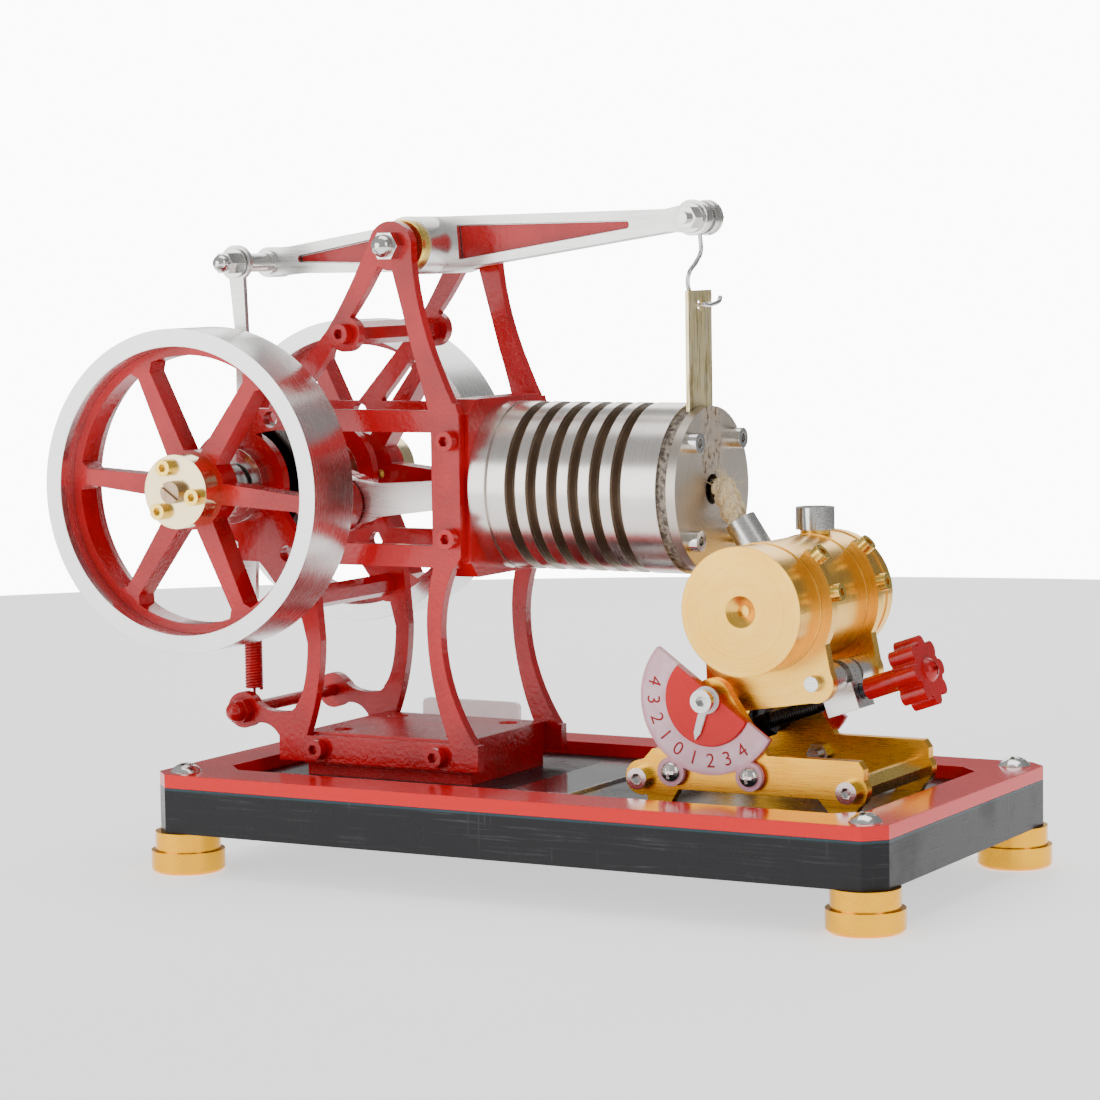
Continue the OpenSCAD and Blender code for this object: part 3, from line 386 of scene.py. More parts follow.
@dataclass(frozen=True)
class Machined:
    """Bare or anodised metal with fine lines along one axis and soft cloudy tone."""

    name: str
    colour: Colour
    shade: Colour
    roughness: float = 0.25
    lay: Lay = Lay.NONE
    lines: float = 2200.0
    depth: float = 0.008 * MM
    edge: float = 0.2 * MM

    def build(self) -> bpy.types.Material:
        """Makes the material."""
        g = Graph(self.name)
        stretch = tuple(self.lines * s for s in self.lay.value)
        streak = g.noise(g.moved((0, 0, 0), stretch), 1.0, 3.0, 0.6)
        cloud = g.noise(g.place(), 70.0, 3.0)
        tone = (streak * 0.6 + cloud * 0.4).band(0.25, 0.6)
        colour = g.blend(tone, self.shade, self.colour)
        return g.finish(
            Base_Color=colour,
            Metallic=1.0,
            Roughness=streak * 0.12 + cloud * 0.06 + (self.roughness - 0.07),
            Normal=g.relief(streak, self.depth, self.edge),
        )


class Axis(Enum):
    """The axis a turned piece was spun about."""

    X = 0
    Y = 1
    Z = 2


@dataclass(frozen=True)
class Turned:
    """Metal turned on a lathe: fine rings about its own axis, with painted shade (a darker, rougher tone)
    below a given radius.
    """

    name: str
    colour: Colour
    shade: Colour
    centre: tuple[float, float, float]
    axis: Axis
    roughness: float = 0.22
    rings: float = 3500.0
    depth: float = 0.01 * MM
    stain: Colour | None = None
    stain_below: float = 0.0
    edge: float = 0.2 * MM

    def radius(self, g: Graph) -> tuple[Sock, Sock]:
        """Distance from the axis and place along it, in metres."""
        parts = list(g.axes(g.moved(self.centre)))
        along = parts.pop(self.axis.value)
        a, b = parts
        return (a * a + b * b) ** 0.5, along

    def build(self) -> bpy.types.Material:
        """Makes the material."""
        g = Graph(self.name)
        r, along = self.radius(g)
        scaled = {"X": r * self.rings, "Y": along * self.rings}
        ring = g.noise(g.node("ShaderNodeCombineXYZ", None, scaled)["Vector"], 1.0, 2.0, 0.6)
        cloud = g.noise(g.place(), 90.0, 4.0, 0.6)
        tone = (ring * 0.6 + cloud * 0.4).band(0.3, 0.7)
        colour = g.blend(tone, self.shade, self.colour)
        rough = ring * 0.14 + cloud * 0.1 + (self.roughness - 0.12)
        if self.stain is not None:
            # painted shade: darker, rougher colour below the given radius
            deep = 1.0 - r.band(self.stain_below - 0.6 * MM, self.stain_below)
            colour = g.blend(deep * (cloud * 0.3 + 0.72), colour, self.stain)
            rough = rough + deep * 0.25
        return g.finish(
            Base_Color=colour,
            Metallic=1.0,
            Roughness=rough,
            Normal=g.relief(ring, self.depth, self.edge),
        )


@dataclass(frozen=True)
class StainedCap:
    """Turned steel face with a brown, pitted heat stain rising from the flame port."""

    name: str
    centre: tuple[float, float, float]
    colour: Colour = (0.74, 0.66, 0.57)
    stain: Colour = (0.11, 0.06, 0.03)

    def build(self) -> bpy.types.Material:
        """Makes the material."""
        g = Graph(self.name)
        x, y, z = g.axes(g.moved(self.centre))
        r = (y * y + z * z) ** 0.5
        ring = g.noise(g.node("ShaderNodeCombineXYZ", None, {"X": r * 2600.0})["Vector"], 1.0, 2.0)
        spots = g.noise(g.moved(self.centre, (620.0, 620.0, 380.0)), 1.0, 3.0, 0.7)
        cloud = g.noise(g.place(), 150.0, 3.0, 0.6)
        wide = (y * y) ** 0.5
        plume = (1.0 - wide.band(3.6 * MM, 7.5 * MM)) * z.band(-2.0 * MM, 4.0 * MM)
        face = x.band(0.8 * MM, 1.2 * MM)
        mask = plume * face * (cloud.band(0.25, 0.6))
        pits = spots.band(0.5, 0.62) * mask
        colour = g.blend(ring.band(0.3, 0.7), tuple(c * 0.72 for c in self.colour), self.colour)
        colour = g.blend(mask * 0.75, colour, (0.46, 0.35, 0.25))
        colour = g.blend(pits * 0.95, colour, self.stain)
        return g.finish(
            Base_Color=colour,
            Metallic=1.0 - mask * 0.35,
            Roughness=ring * 0.12 + mask * 0.25 + 0.3,
            Normal=g.relief(ring * 0.3 - pits, 0.05 * MM, 0.2 * MM),
        )


@dataclass(frozen=True)
class Gasket:
    """Ragged brown-grey packing squeezed between two metal faces."""

    name: str

    def build(self) -> bpy.types.Material:
        """Makes the material."""
        g = Graph(self.name)
        p = g.place()
        lump = g.noise(p, 700.0, 4.0, 0.7)
        soot = g.noise(p, 180.0, 3.0)
        colour = g.blend(lump.band(0.35, 0.65), (0.07, 0.05, 0.04), (0.4, 0.34, 0.27))
        colour = g.blend(soot.band(0.5, 0.7) * 0.6, colour, (0.12, 0.09, 0.07))
        return g.finish(
            Base_Color=colour,
            Metallic=0.35,
            Roughness=lump * 0.3 + 0.4,
            Normal=g.relief(lump, 0.35 * MM),
        )


@dataclass(frozen=True)
class Moulded:
    """Plain plastic with faint cloudiness; alpha under 1 lets the back show through."""

    name: str
    colour: Colour
    roughness: float = 0.3
    alpha: float = 1.0

    def build(self) -> bpy.types.Material:
        """Makes the material."""
        g = Graph(self.name)
        cloud = g.noise(g.place(), 160.0, 3.0)
        colour = g.blend(cloud.band(0.3, 0.7), tuple(c * 0.93 for c in self.colour), self.colour)
        return g.finish(
            Base_Color=colour,
            Roughness=cloud * 0.1 + (self.roughness - 0.05),
            Alpha=self.alpha,
            Normal=g.relief(cloud, 0.01 * MM, 0.25 * MM),
        )


@dataclass(frozen=True)
class DialBand:
    """Pale pink sheet on a red one: the outer layer is pink out to the rim, the rest and the cut edge red."""

    name: str
    face: float
    centre: tuple[float, float, float]
    inner: float = 12.3 * MM
    layer: float = 1.3 * MM

    def build(self) -> bpy.types.Material:
        """Makes the material."""
        g = Graph(self.name)
        p = g.place()
        x, y, z = g.axes(g.moved(self.centre))
        away = (y * y) ** 0.5
        radius = (x * x + z * z) ** 0.5
        cloud = g.noise(p, 220.0, 3.0)
        pink = g.blend(cloud.band(0.3, 0.7), (0.84, 0.5, 0.58), (0.92, 0.66, 0.73))
        pink = g.blend(radius.band(18.2 * MM, 19.4 * MM) * 0.6, pink, (0.74, 0.27, 0.36))
        outer = away.band(self.face - self.layer - 0.1 * MM, self.face - self.layer)
        ring = radius.band(self.inner - 0.1 * MM, self.inner + 0.1 * MM)
        colour = g.blend(outer * ring, (0.62, 0.006, 0.014), pink)
        return g.finish(
            Base_Color=colour,
            Roughness=cloud * 0.1 + 0.22,
            Normal=g.relief(cloud, 0.01 * MM, 0.25 * MM),
        )


@dataclass(frozen=True)
class Cotton:
    """Loosely spun cotton: fine fibres with painted shade darkening the hollows between them, and a scorched
    tip.
    """

    name: str
    tip_x: float
    colour: Colour = (0.93, 0.77, 0.5)

    def build(self) -> bpy.types.Material:
        """Makes the material."""
        g = Graph(self.name)
        p = g.place()
        x = g.axes(p)[0]
        fibre = g.noise(g.moved((0, 0, 0), (2600.0, 2600.0, 1500.0)), 1.0, 3.0, 0.7)
        cloud = g.noise(p, 420.0, 2.0)
        # painted shade: the hollows between fibres (low bump) are darker brown
        colour = g.blend(fibre.band(0.3, 0.6), (0.6, 0.42, 0.2), self.colour)
        colour = g.blend(cloud.band(0.55, 0.75) * 0.5, colour, (0.97, 0.9, 0.74))
        scorch = 1.0 - x.band(self.tip_x, self.tip_x + 1.6 * MM)
        colour = g.blend(scorch * 0.25, colour, (0.4, 0.26, 0.12))
        return g.finish(Base_Color=colour, Roughness=0.9, Normal=g.relief(fibre, 0.035 * MM))


@dataclass(frozen=True)
class StreakedBrass:
    """Worn flat brass strip with dark upright streaks."""

    name: str

    def build(self) -> bpy.types.Material:
        """Makes the material."""
        g = Graph(self.name)
        streak = g.noise(g.moved((0, 0, 0), (1500.0, 1500.0, 90.0)), 1.0, 4.0, 0.65)
        cloud = g.noise(g.place(), 160.0, 3.0)
        colour = g.blend(streak.band(0.36, 0.55), (0.42, 0.3, 0.1), (1.0, 0.84, 0.45))
        colour = g.blend(cloud.band(0.4, 0.7) * 0.4, colour, (1.0, 0.93, 0.7))
        return g.finish(
            Base_Color=colour,
            Metallic=0.85,
            Roughness=streak * 0.2 + 0.24,
            Normal=g.relief(streak, 0.03 * MM, 0.15 * MM),
        )


# ------------------------------------------------------------------ surfaces


def loft(name: str, rows: np.ndarray, smooth: bool = True, caps: bool = True) -> bpy.types.Object:
    """Makes a mesh from a grid of points, one row for each step along the piece.

    Faces join neighbouring points, and the last point of a row meets its first.

    Args:
        name: the object's name.
        rows: points as (steps, points round, 3), in metres.
        smooth: shade it smooth.
        caps: close the two ends.

    Returns:
        The object.
    """
    n, m = rows.shape[:2]
    index = np.arange(n * m).reshape(n, m)
    grid = np.concatenate([index, index[:, :1]], axis=1)
    quads = np.stack([grid[:-1, :-1], grid[:-1, 1:], grid[1:, 1:], grid[1:, :-1]], axis=-1).reshape(-1, 4)
    faces = quads.tolist()
    if caps:
        faces += [index[0, ::-1].tolist(), index[-1].tolist()]
    mesh = bpy.data.meshes.new(name)
    mesh.from_pydata(rows.reshape(-1, 3), [], faces)
    mesh.polygons.foreach_set("use_smooth", np.full(len(mesh.polygons), smooth))
    mesh.update()
    made = bpy.data.objects.new(name, mesh)
    bpy.context.scene.collection.objects.link(made)
    return made


def tube(path: np.ndarray, radius: np.ndarray | float, around: int, guide: Sequence[float]) -> np.ndarray:
    """Circles carried along a path: centre + r (cos a N + sin a B).

    N is the guide made square to the path, and B is square to both.

    Args:
        path: centres as (steps, 3).
        radius: one value, or one for each step, or (steps, around).
        around: points in a circle.
        guide: a direction never parallel to the path.

    Returns:
        Points as (steps, around, 3).
    """
    tangent = np.gradient(path, axis=0)
    tangent /= np.linalg.norm(tangent, axis=1, keepdims=True)
    side = np.asarray(guide, float)[None] - (tangent @ np.asarray(guide, float))[:, None] * tangent
    side /= np.linalg.norm(side, axis=1, keepdims=True)
    other = np.cross(tangent, side)
    angle = np.linspace(0, 2 * np.pi, around, endpoint=False)
    column = radius if np.ndim(radius) == 2 else np.reshape(radius, (-1, 1))
    size = np.broadcast_to(column, (len(path), around))
    ring = np.cos(angle)[None, :, None] * side[:, None] + np.sin(angle)[None, :, None] * other[:, None]
    return path[:, None] + size[:, :, None] * ring


def rounded_path(points: Sequence[Sequence[float]], steps: int) -> np.ndarray:
    """A smooth curve through points: Catmull-Rom pieces, each a cubic of its four nearest points.

    Args:
        points: the points in order.
        steps: samples in each piece.

    Returns:
        The curve as (samples, 3).
    """
    p = np.asarray(points, float)
    p = np.concatenate([2 * p[:1] - p[1:2], p, 2 * p[-1:] - p[-2:-1]])
    t = np.linspace(0, 1, steps, endpoint=False)[None, :, None]
    a, b, c, d = (q[:, None] for q in (p[:-3], p[1:-2], p[2:-1], p[3:]))
    curve = 0.5 * (2 * b + (c - a) * t + (2 * a - 5 * b + 4 * c - d) * t**2 + (3 * b - a - 3 * c + d) * t**3)
    return np.concatenate([curve.reshape(-1, 3), p[-2:-1]])


def dress(piece: bpy.types.Object, material: bpy.types.Material, body: str) -> bpy.types.Object:
    """Gives a new piece its material and body, and logs it.

    Args:
        piece: the object.
        material: its finish.
        body: the body it rides on.

    Returns:
        The same object.
    """
    piece.data.materials.clear()
    piece.data.materials.append(material)
    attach(piece, body)
    LOG.info("%s rides on %s", piece.name, body)
    return piece


def paint(frame: dict, nodes: Sequence[str], material: bpy.types.Material) -> None:
    """Gives carried-over parts a finish.

    Args:
        frame: the loaded frame.
        nodes: the parts' names.
        material: the finish.
    """
    for name in nodes:
        part = frame["nodes"][name]
        for place in part.material_slots:
            place.link = "DATA"
            place.material = material
        LOG.info("%s is %s", name, material.name)


def middle(node: str) -> np.ndarray:
    """The middle of a part's box."""
    low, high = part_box(node)
    return (np.array(low) + np.array(high)) / 2


# ------------------------------------------------------------------ palette


@dataclass
class Palette:
    """The finishes that several sub-assemblies share."""

    red: Any = field(default=None)
    plate: Any = field(default=None)
    chrome: Any = field(default=None)
    polished: Any = field(default=None)
    brass: Any = field(default=None)
    silver: Any = field(default=None)
    gold: Any = field(default=None)
    bright: Any = field(default=None)
    black: Any = field(default=None)

    def mix(self) -> "Palette":
        """Makes the shared materials."""
        x = Lay.ALONG_X
        self.red = Enamel("red enamel", (0.58, 0.0, 0.005), (0.4, 0.0, 0.002)).build()
        self.plate = GlossPlate("red sheet", (0.74, 0.0, 0.002)).build()
        self.chrome = Machined("polished screw steel", (0.82, 0.81, 0.79), (0.55, 0.54, 0.52), 0.13).build()
        self.polished = Machined("polished plate", (0.9, 0.9, 0.9), (0.78, 0.78, 0.78), 0.1).build()
        self.brass = Machined("satin brass", (0.98, 0.7, 0.16), (0.76, 0.46, 0.06), 0.24).build()
        self.silver = Machined("satin aluminium", (0.84, 0.83, 0.81), (0.62, 0.6, 0.57), 0.26, x).build()
        self.gold = Machined("gold anodised", (1.0, 0.54, 0.05), (0.8, 0.36, 0.015), 0.26, x, 4200.0).build()
        self.bright = Machined("bright steel", (0.8, 0.8, 0.79), (0.6, 0.6, 0.59), 0.18).build()
        self.black = Machined("blackened steel", (0.06, 0.06, 0.065), (0.02, 0.02, 0.022), 0.26).build()
        return self


# ------------------------------------------------------------------ sub-assemblies


@dataclass
class Base:
    """Slab, red frame, feet, corner screws, plate and the small stop at the back."""

    frame: dict
    palette: Palette

    def make(self) -> None:
        """Dresses the base."""
        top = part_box("base_slab")[1][2]
        paint(self.frame, ["base_slab"], SlabBlack("black slab", top).build())
        paint(self.frame, ["base_frame"], self.palette.plate)
        feet = Machined("gold feet", (0.96, 0.47, 0.015), (0.76, 0.32, 0.005), 0.2)
        paint(self.frame, ["feet"], feet.build())
        paint(self.frame, ["base_screws"], self.palette.chrome)
        paint(self.frame, ["nameplate"], self.palette.polished)
        paint(self.frame, ["rear_tab"], Moulded("clear pink", (0.95, 0.75, 0.77), 0.15, 0.55).build())


@dataclass
class SideFrames:
    """Pedestal, frames, bolts, posts and bearings."""

    frame: dict
    palette: Palette

    def make(self) -> None:
        """Dresses the frames."""
        red = ["pedestal", "side_frame_front", "side_frame_rear", "frame_bolts", "cross_posts", "lobe_nuts"]
        paint(self.frame, [*red, "cylinder_plate"], self.palette.red)
        paint(self.frame, ["bearing_outers"], self.palette.chrome)
        paint(self.frame, ["beam_pin", "beam_pin_nuts"], self.palette.chrome)


@dataclass
class ReturnSpring:
    """Close-wound spring that pulls the beam's follower down, hooked round the lower rod."""

    palette: Palette
    wire: float = 0.42 * MM
    coil: float = 2.15 * MM
    pitch: float = 0.85 * MM
    hook: float = 2.6 * MM
    turns: int = 24
    per_turn: int = 20

    def make(self) -> None:
        """Makes the coil, a helix of even pitch about an upright axis, and a hook, a near-full ring."""
        low, high = (np.array(c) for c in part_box("return_spring"))
        x = (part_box("lobe_nuts")[0][0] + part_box("lobe_nuts")[1][0]) / 2
        y = (low[1] + high[1]) / 2
        bottom = high[2] - self.turns * self.pitch
        t = np.linspace(0, 1, self.turns * self.per_turn)
        angle = 2 * np.pi * self.turns * t
        z = bottom + self.wire + t * (high[2] - bottom - 2 * self.wire)
        helix = np.stack([x + self.coil * np.cos(angle), y + self.coil * np.sin(angle), z], axis=1)
        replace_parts(self.piece("spring_coil", helix, 8, (0, 0, 1)), "return_spring")
        rod = low[2] + self.hook + 0.45 * MM
        turn = np.radians(np.linspace(-60, 265, 40))
        across, rise = self.hook * np.sin(turn), self.hook * np.cos(turn + np.pi)
        self.piece("spring_hook", np.stack([x + across, np.full(40, y), rod - rise], axis=1), 10, (0, 1, 0))
        stem = np.linspace(rod + self.hook, bottom + self.wire, 8)
        self.piece("spring_stem", np.stack([np.full(8, x), np.full(8, y), stem], axis=1), 10, (0, 1, 0))

    def piece(self, name: str, path: np.ndarray, around: int, guide: Sequence[float]) -> bpy.types.Object:
        """Makes one stretch of wire.

        Args:
            name: the piece's name.
            path: its middle line.
            around: points round the wire.
            guide: a direction never parallel to the path.

        Returns:
            The piece.
        """
        made = loft(name, tube(path, self.wire, around, guide))
        return dress(made, self.palette.red, "engine")


@dataclass
class CylinderUnit:
    """Finned cylinder, slotted valve guide, end cap and its screws."""

    frame: dict
    palette: Palette

    def make(self) -> None:
        """Dresses the cylinder."""
        c = middle("end_cap")
        outer = (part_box("cylinder")[1][2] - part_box("cylinder")[0][2]) / 2
        # painted shade: the gaps between the fins, from 1 mm under their tips inwards, are darker brown
        steel = Turned("turned steel", (0.84, 0.8, 0.76), (0.66, 0.61, 0.56), tuple(c), Axis.X, 0.24,
                       stain=(0.3, 0.22, 0.15), stain_below=outer - 1.0 * MM)
        paint(self.frame, ["cylinder"], steel.build())
        paint(self.frame, ["end_cap"], StainedCap("stained cap", tuple(c)).build())
        paint(self.frame, ["valve_guide"], Gasket("scorched gasket").build())
        paint(self.frame, ["cap_screws"], self.palette.chrome)


@dataclass
class Wheels:
    """Both flywheels with their hubs and screws."""

    frame: dict
    palette: Palette

    def make(self) -> None:
        """Dresses the wheels."""
        c = middle("flywheel_rims")
        steel, shade = (0.86, 0.86, 0.85), (0.74, 0.74, 0.73)
        rim = Turned("turned rim", steel, shade, tuple(c), Axis.Y, 0.26, rings=4200.0)
        paint(self.frame, ["flywheel_rims"], rim.build())
        paint(self.frame, ["flywheel_centres"], self.palette.red)
        hub = Turned("turned brass hub", (0.95, 0.82, 0.52), (0.82, 0.64, 0.33), tuple(c), Axis.Y, 0.2)
        paint(self.frame, ["flywheel_hubs"], hub.build())
        paint(self.frame, ["hub_screws"], self.palette.brass)


@dataclass
class CrankTrain:
    """Shaft, webs, cam, rod and piston."""

    frame: dict
    palette: Palette
    knurl: float = 0.35 * MM
    ridges: int = 72
    band: float = 6.1 * MM
    lip: float = 0.8 * MM

    def make(self) -> None:
        """Dresses the crank train and knurls the cam disc."""
        bronze = Machined("worn bronze", (0.5, 0.36, 0.24), (0.28, 0.18, 0.1), 0.35, Lay.ALONG_Z)
        paint(self.frame, ["crankshaft"], bronze.build())
        paint(self.frame, ["crank_webs"], self.palette.red)
        bright = ["shaft_collars", "bearing_inners", "crank_pin", "wrist_pin", "piston"]
        paint(self.frame, bright, self.palette.bright)
        paint(self.frame, ["connecting_rod"], self.palette.silver)
        dark = Machined("dark cam steel", (0.12, 0.11, 0.105), (0.05, 0.045, 0.04), 0.36)
        material = dark.build()
        paint(self.frame, ["cam_disc"], material)
        self.knurled_band(material)

    def knurled_band(self, material: bpy.types.Material) -> None:
        """Makes the knurled band: a radius raised where two sets of slanting ridges cross.

        Args:
            material: the cam's finish.
        """
        shaft = middle("flywheel_rims")
        low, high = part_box("cam_disc")
        radius = (high[2] - low[2]) / 2
        y = np.linspace(high[1], high[1] - self.band, 25)
        angle = np.linspace(0, 2 * np.pi, self.ridges * 6, endpoint=False)
        slant = (y[:, None] - y[0]) * self.ridges / (2 * np.pi * radius)
        turn = angle[None] * self.ridges / (2 * np.pi)
        ridge = np.abs(((turn + slant) % 1) - 0.5) + np.abs(((turn - slant) % 1) - 0.5)
        r = radius + self.knurl * (ridge - 0.35)
        r[0] = r[-1] = radius - self.lip
        level = np.broadcast_to(y[:, None], r.shape)
        rows = np.stack([shaft[0] + r * np.sin(angle), level, shaft[2] + r * np.cos(angle)], axis=-1)
        dress(loft("cam_knurl", rows, smooth=False), material, "crank")


@dataclass
class BeamGear:
    """Rocking beam, follower rod, valve strip and its wire."""

    frame: dict
    palette: Palette
    wire: float = 0.6 * MM
    eye: float = 2.6 * MM
    sway: float = 0.35 * MM

    def make(self) -> None:
        """Dresses the beam gear and bends the wire."""
        paint(self.frame, ["beam", "follower_rod"], self.palette.silver)
        paint(self.frame, ["beam_inlays"], self.palette.red)
        paint(self.frame, ["beam_bush"], self.palette.brass)
        paint(self.frame, ["beam_end_pins"], self.palette.chrome)
        paint(self.frame, ["valve_strip"], StreakedBrass("streaked brass").build())
        self.bend_wire()

    def bend_wire(self) -> None:
        """Makes the wire: an open ring round the beam's pin, a wavy drop, and a hook through the strip."""
        strip_low, strip_high = (np.array(c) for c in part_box("valve_strip"))
        x = (strip_low[0] + strip_high[0]) / 2
        eye_x = x + 0.45 * MM
        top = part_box("valve_wire")[1][2] - 3.2 * MM
        hook = strip_high[2] - 3.8 * MM
        turn = np.radians(np.linspace(250, -70, 36))
        swing, lift = self.eye * np.cos(turn), self.eye * np.sin(turn)
        ring = np.stack([eye_x + swing, self.sway * np.sin(turn), top + lift], axis=1)
        drop = rounded_path([
            (eye_x, -0.1 * MM, top - 2.5 * MM),
            (eye_x, 0.9 * MM, top - 8.4 * MM),
            (x, -1.0 * MM, top - 11.5 * MM),
            (x - 0.6 * MM, -3.9 * MM, top - 14.2 * MM),
            (x - 1.3 * MM, -3.4 * MM, top - 17.6 * MM),
            (x - 1.35 * MM, -0.6 * MM, hook + 1.2 * MM),
            (x - 0.6 * MM, 0, hook),
            (x + 1.6 * MM, 0.3 * MM, hook),
            (x + 1.7 * MM, 3.5 * MM, hook - 0.1 * MM),
            (x + 1.7 * MM, 8.4 * MM, hook + 0.6 * MM),
            (x + 1.7 * MM, 9.6 * MM, hook + 1.9 * MM),
        ], 10)
        loop = loft("valve_wire_eye", tube(ring, self.wire, 12, (0, 1, 0)))
        dress(loop, self.palette.bright, "valve")
        wire = loft("valve_wire_drop", tube(drop, self.wire, 12, (0.9, 0.1, 0.35)))
        dress(wire, self.palette.bright, "valve")
        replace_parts(wire, "valve_wire")


@dataclass
class Dial:
    """Figures of one dial."""

    centre: tuple[float, float]
    face: float
    side: int
    ring: float = 16.0 * MM
    step: float = 17.7
    zero: float = -124.0
    height: float = 3.7 * MM

    def make(self, ink: bpy.types.Material) -> None:
        """Makes the figures 4 to 0 to 4, each turned so that its top points at the dial's centre."""
        for k in range(-4, 5):
            text = bpy.data.curves.new(f"figure_{k}", "FONT")
            text.body = str(abs(k))
            text.align_x = "CENTER"
            text.align_y = "CENTER"
            text.size = self.height / 0.7
            text.extrude = 0.06 * MM
            holder = bpy.data.objects.new("figure", text)
            bpy.context.scene.collection.objects.link(holder)
            mesh = bpy.data.meshes.new_from_object(holder)
            bpy.data.objects.remove(holder)
            angle = math.radians(self.zero + k * self.step)
            x = self.centre[0] + self.ring * math.cos(angle)
            z = self.centre[1] + self.ring * math.sin(angle)
            place = Matrix.Translation((x, self.face, z))
            upright = Matrix.Rotation(math.pi / 2, 4, "X")
            turn = Matrix.Rotation(-(angle + math.pi / 2), 4, "Y")
            flip = Matrix.Rotation(math.pi, 4, "Z") if self.side > 0 else Matrix.Identity(4)
            mesh.transform(place @ turn @ flip @ upright)
            side = "front" if self.side < 0 else "rear"
            piece = bpy.data.objects.new(f"dial_{side}_figure_{k + 4}", mesh)
            bpy.context.scene.collection.objects.link(piece)
            dress(piece, ink, "engine")


@dataclass
class Wick:
    """Three-strand braid from the burner's tube to the flame port, with loose fibres at its tip."""

    strand: float = 1.85 * MM
    wide: float = 2.2 * MM
    deep: float = 1.0 * MM
    lay: float = 11.0 * MM
    fibres: int = 90

    def make(self) -> None:
        """Makes the braid.

        Each strand follows the middle line plus a side swing of sin(w) and a rise of sin(2w). The strands are
        a third of a turn apart, and ridges wind round each.
        """
        tube_low, tube_high = (np.array(c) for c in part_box("wick_tube"))
        cap = np.array(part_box("end_cap")[1])
        port = middle("end_cap")
        mouth = np.array([tube_low[0] + 3.2 * MM, 0, tube_high[2] - 3.4 * MM])
        line = rounded_path([
            (mouth[0] + 6 * MM, 0, mouth[2] - 9 * MM),
            (mouth[0] + 2.6 * MM, 0, mouth[2] - 3.6 * MM),
            tuple(mouth),
            (cap[0] + 3.6 * MM, -0.3 * MM, port[2] + 0.3 * MM),
            (cap[0] + 2.3 * MM, -0.4 * MM, port[2] + 2.6 * MM),
        ], 40)
        tangent = np.gradient(line, axis=0)
        length = np.concatenate([[0], np.cumsum(np.linalg.norm(np.diff(line, axis=0), axis=1))])
        tangent /= np.linalg.norm(tangent, axis=1, keepdims=True)
        side = np.array([0.0, 1.0, 0.0])
        rise = np.cross(tangent, side)
        cotton = Cotton("cotton wick", cap[0] + 0.4 * MM).build()
        grow = 0.62 + 0.38 * np.clip((length - 8.0 * MM) / (6.0 * MM), 0.0, 1.0)
        taper = np.clip((length[-1] - length) / (2.2 * MM), 0.45, 1.0) * grow
        for k in range(3):
            w = 2 * np.pi * (length / self.lay + k / 3)
            across, lift = self.wide * np.sin(w) * taper, self.deep * np.sin(2 * w) * taper
            path = line + across[:, None] * side + lift[:, None] * rise
            angle = np.linspace(0, 2 * np.pi, 40, endpoint=False)
            ridge = 0.8 + 0.3 * np.abs(np.cos(2.5 * angle[None] + length[:, None] * 700))
            radius = self.strand * taper[:, None] ** 0.6 * ridge
            made = loft(f"wick_strand_{k}", tube(path, radius, 40, (0.2, 1, 0.1)))
            dress(made, cotton, "cradle")
            if k == 0:
                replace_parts(made, "wick")
        self.fray(line[-1], tangent[-1], cap[0], cotton)

    def fray(self, tip: np.ndarray, way: np.ndarray, wall: float, cotton: bpy.types.Material) -> None:
        """Makes the loose fibres: thin tapering tubes that start in the tip and curl outwards.

        Args:
            tip: the end of the braid.
            way: its direction.
            wall: the cap's face, which no fibre passes.
            cotton: the finish.
        """
        rng = np.random.default_rng(7)
        t = np.linspace(0, 1, 7)[:, None]
        for k in range(self.fibres):
            start = tip - way * rng.uniform(0.3, 5.0) * MM + rng.normal(0, 1.5, 3) * MM
            out = way * rng.uniform(0.1, 1.2) + rng.normal(0, 0.8, 3)
            bend = rng.normal(0, 0.5, 3)
            reach = rng.uniform(1.0, 2.4) * MM
            path = start + (out * t + bend * t**2) * reach
            path[:, 0] = np.maximum(path[:, 0], wall + 0.35 * MM)
            path[:, 0] += t[:, 0] * 0.02 * MM
            radius = 0.11 * MM * (1 - 0.6 * t[:, 0])
            guide = np.cross(out, (0.3, 0.5, 0.8))
            dress(loft(f"wick_fibre_{k}", tube(path, radius, 5, guide)), cotton, "cradle")


@dataclass
class Adjuster:
    """Threaded rod of the star knob."""

    palette: Palette
    post: tuple[float, float]
    angle: float
    pitch: float = 0.7 * MM
    depth: float = 0.22 * MM

    def make(self) -> None:
        """Makes the thread in two stretches, one each side of the swivel block."""
        self.stretch("adjuster_thread_low", -9.6 * MM, -8.3 * MM)
        self.stretch("adjuster_thread_mid", 8.4 * MM, 22.8 * MM)

    def stretch(self, name: str, start: float, end: float) -> None:
        """Makes one stretch: the radius rises and falls as a triangle wave of height + angle / full turn.

        Args:
            name: the piece's name.
            start: distance along the rod from the post.
            end: the same for its far end.
        """
        steps = int((end - start) / self.pitch * 8)
        along = np.linspace(start, end, steps)
        angle = np.linspace(0, 2 * np.pi, 28, endpoint=False)
        wave = np.abs(((along[:, None] / self.pitch + angle[None] / (2 * np.pi)) % 1) - 0.5) * 2
        r = 2.03 * MM + self.depth * wave
        r[0] = r[-1] = 1.9 * MM
        c, s = math.cos(self.angle), math.sin(self.angle)
        u = along[:, None] * np.ones_like(r)
        v = r * np.cos(angle)
        x, z = self.post[0] + u * c - v * s, self.post[1] + u * s + v * c
        rows = np.stack([x, -r * np.sin(angle), z], axis=-1)
        dress(loft(name, rows, smooth=False), self.palette.black, "adjuster")


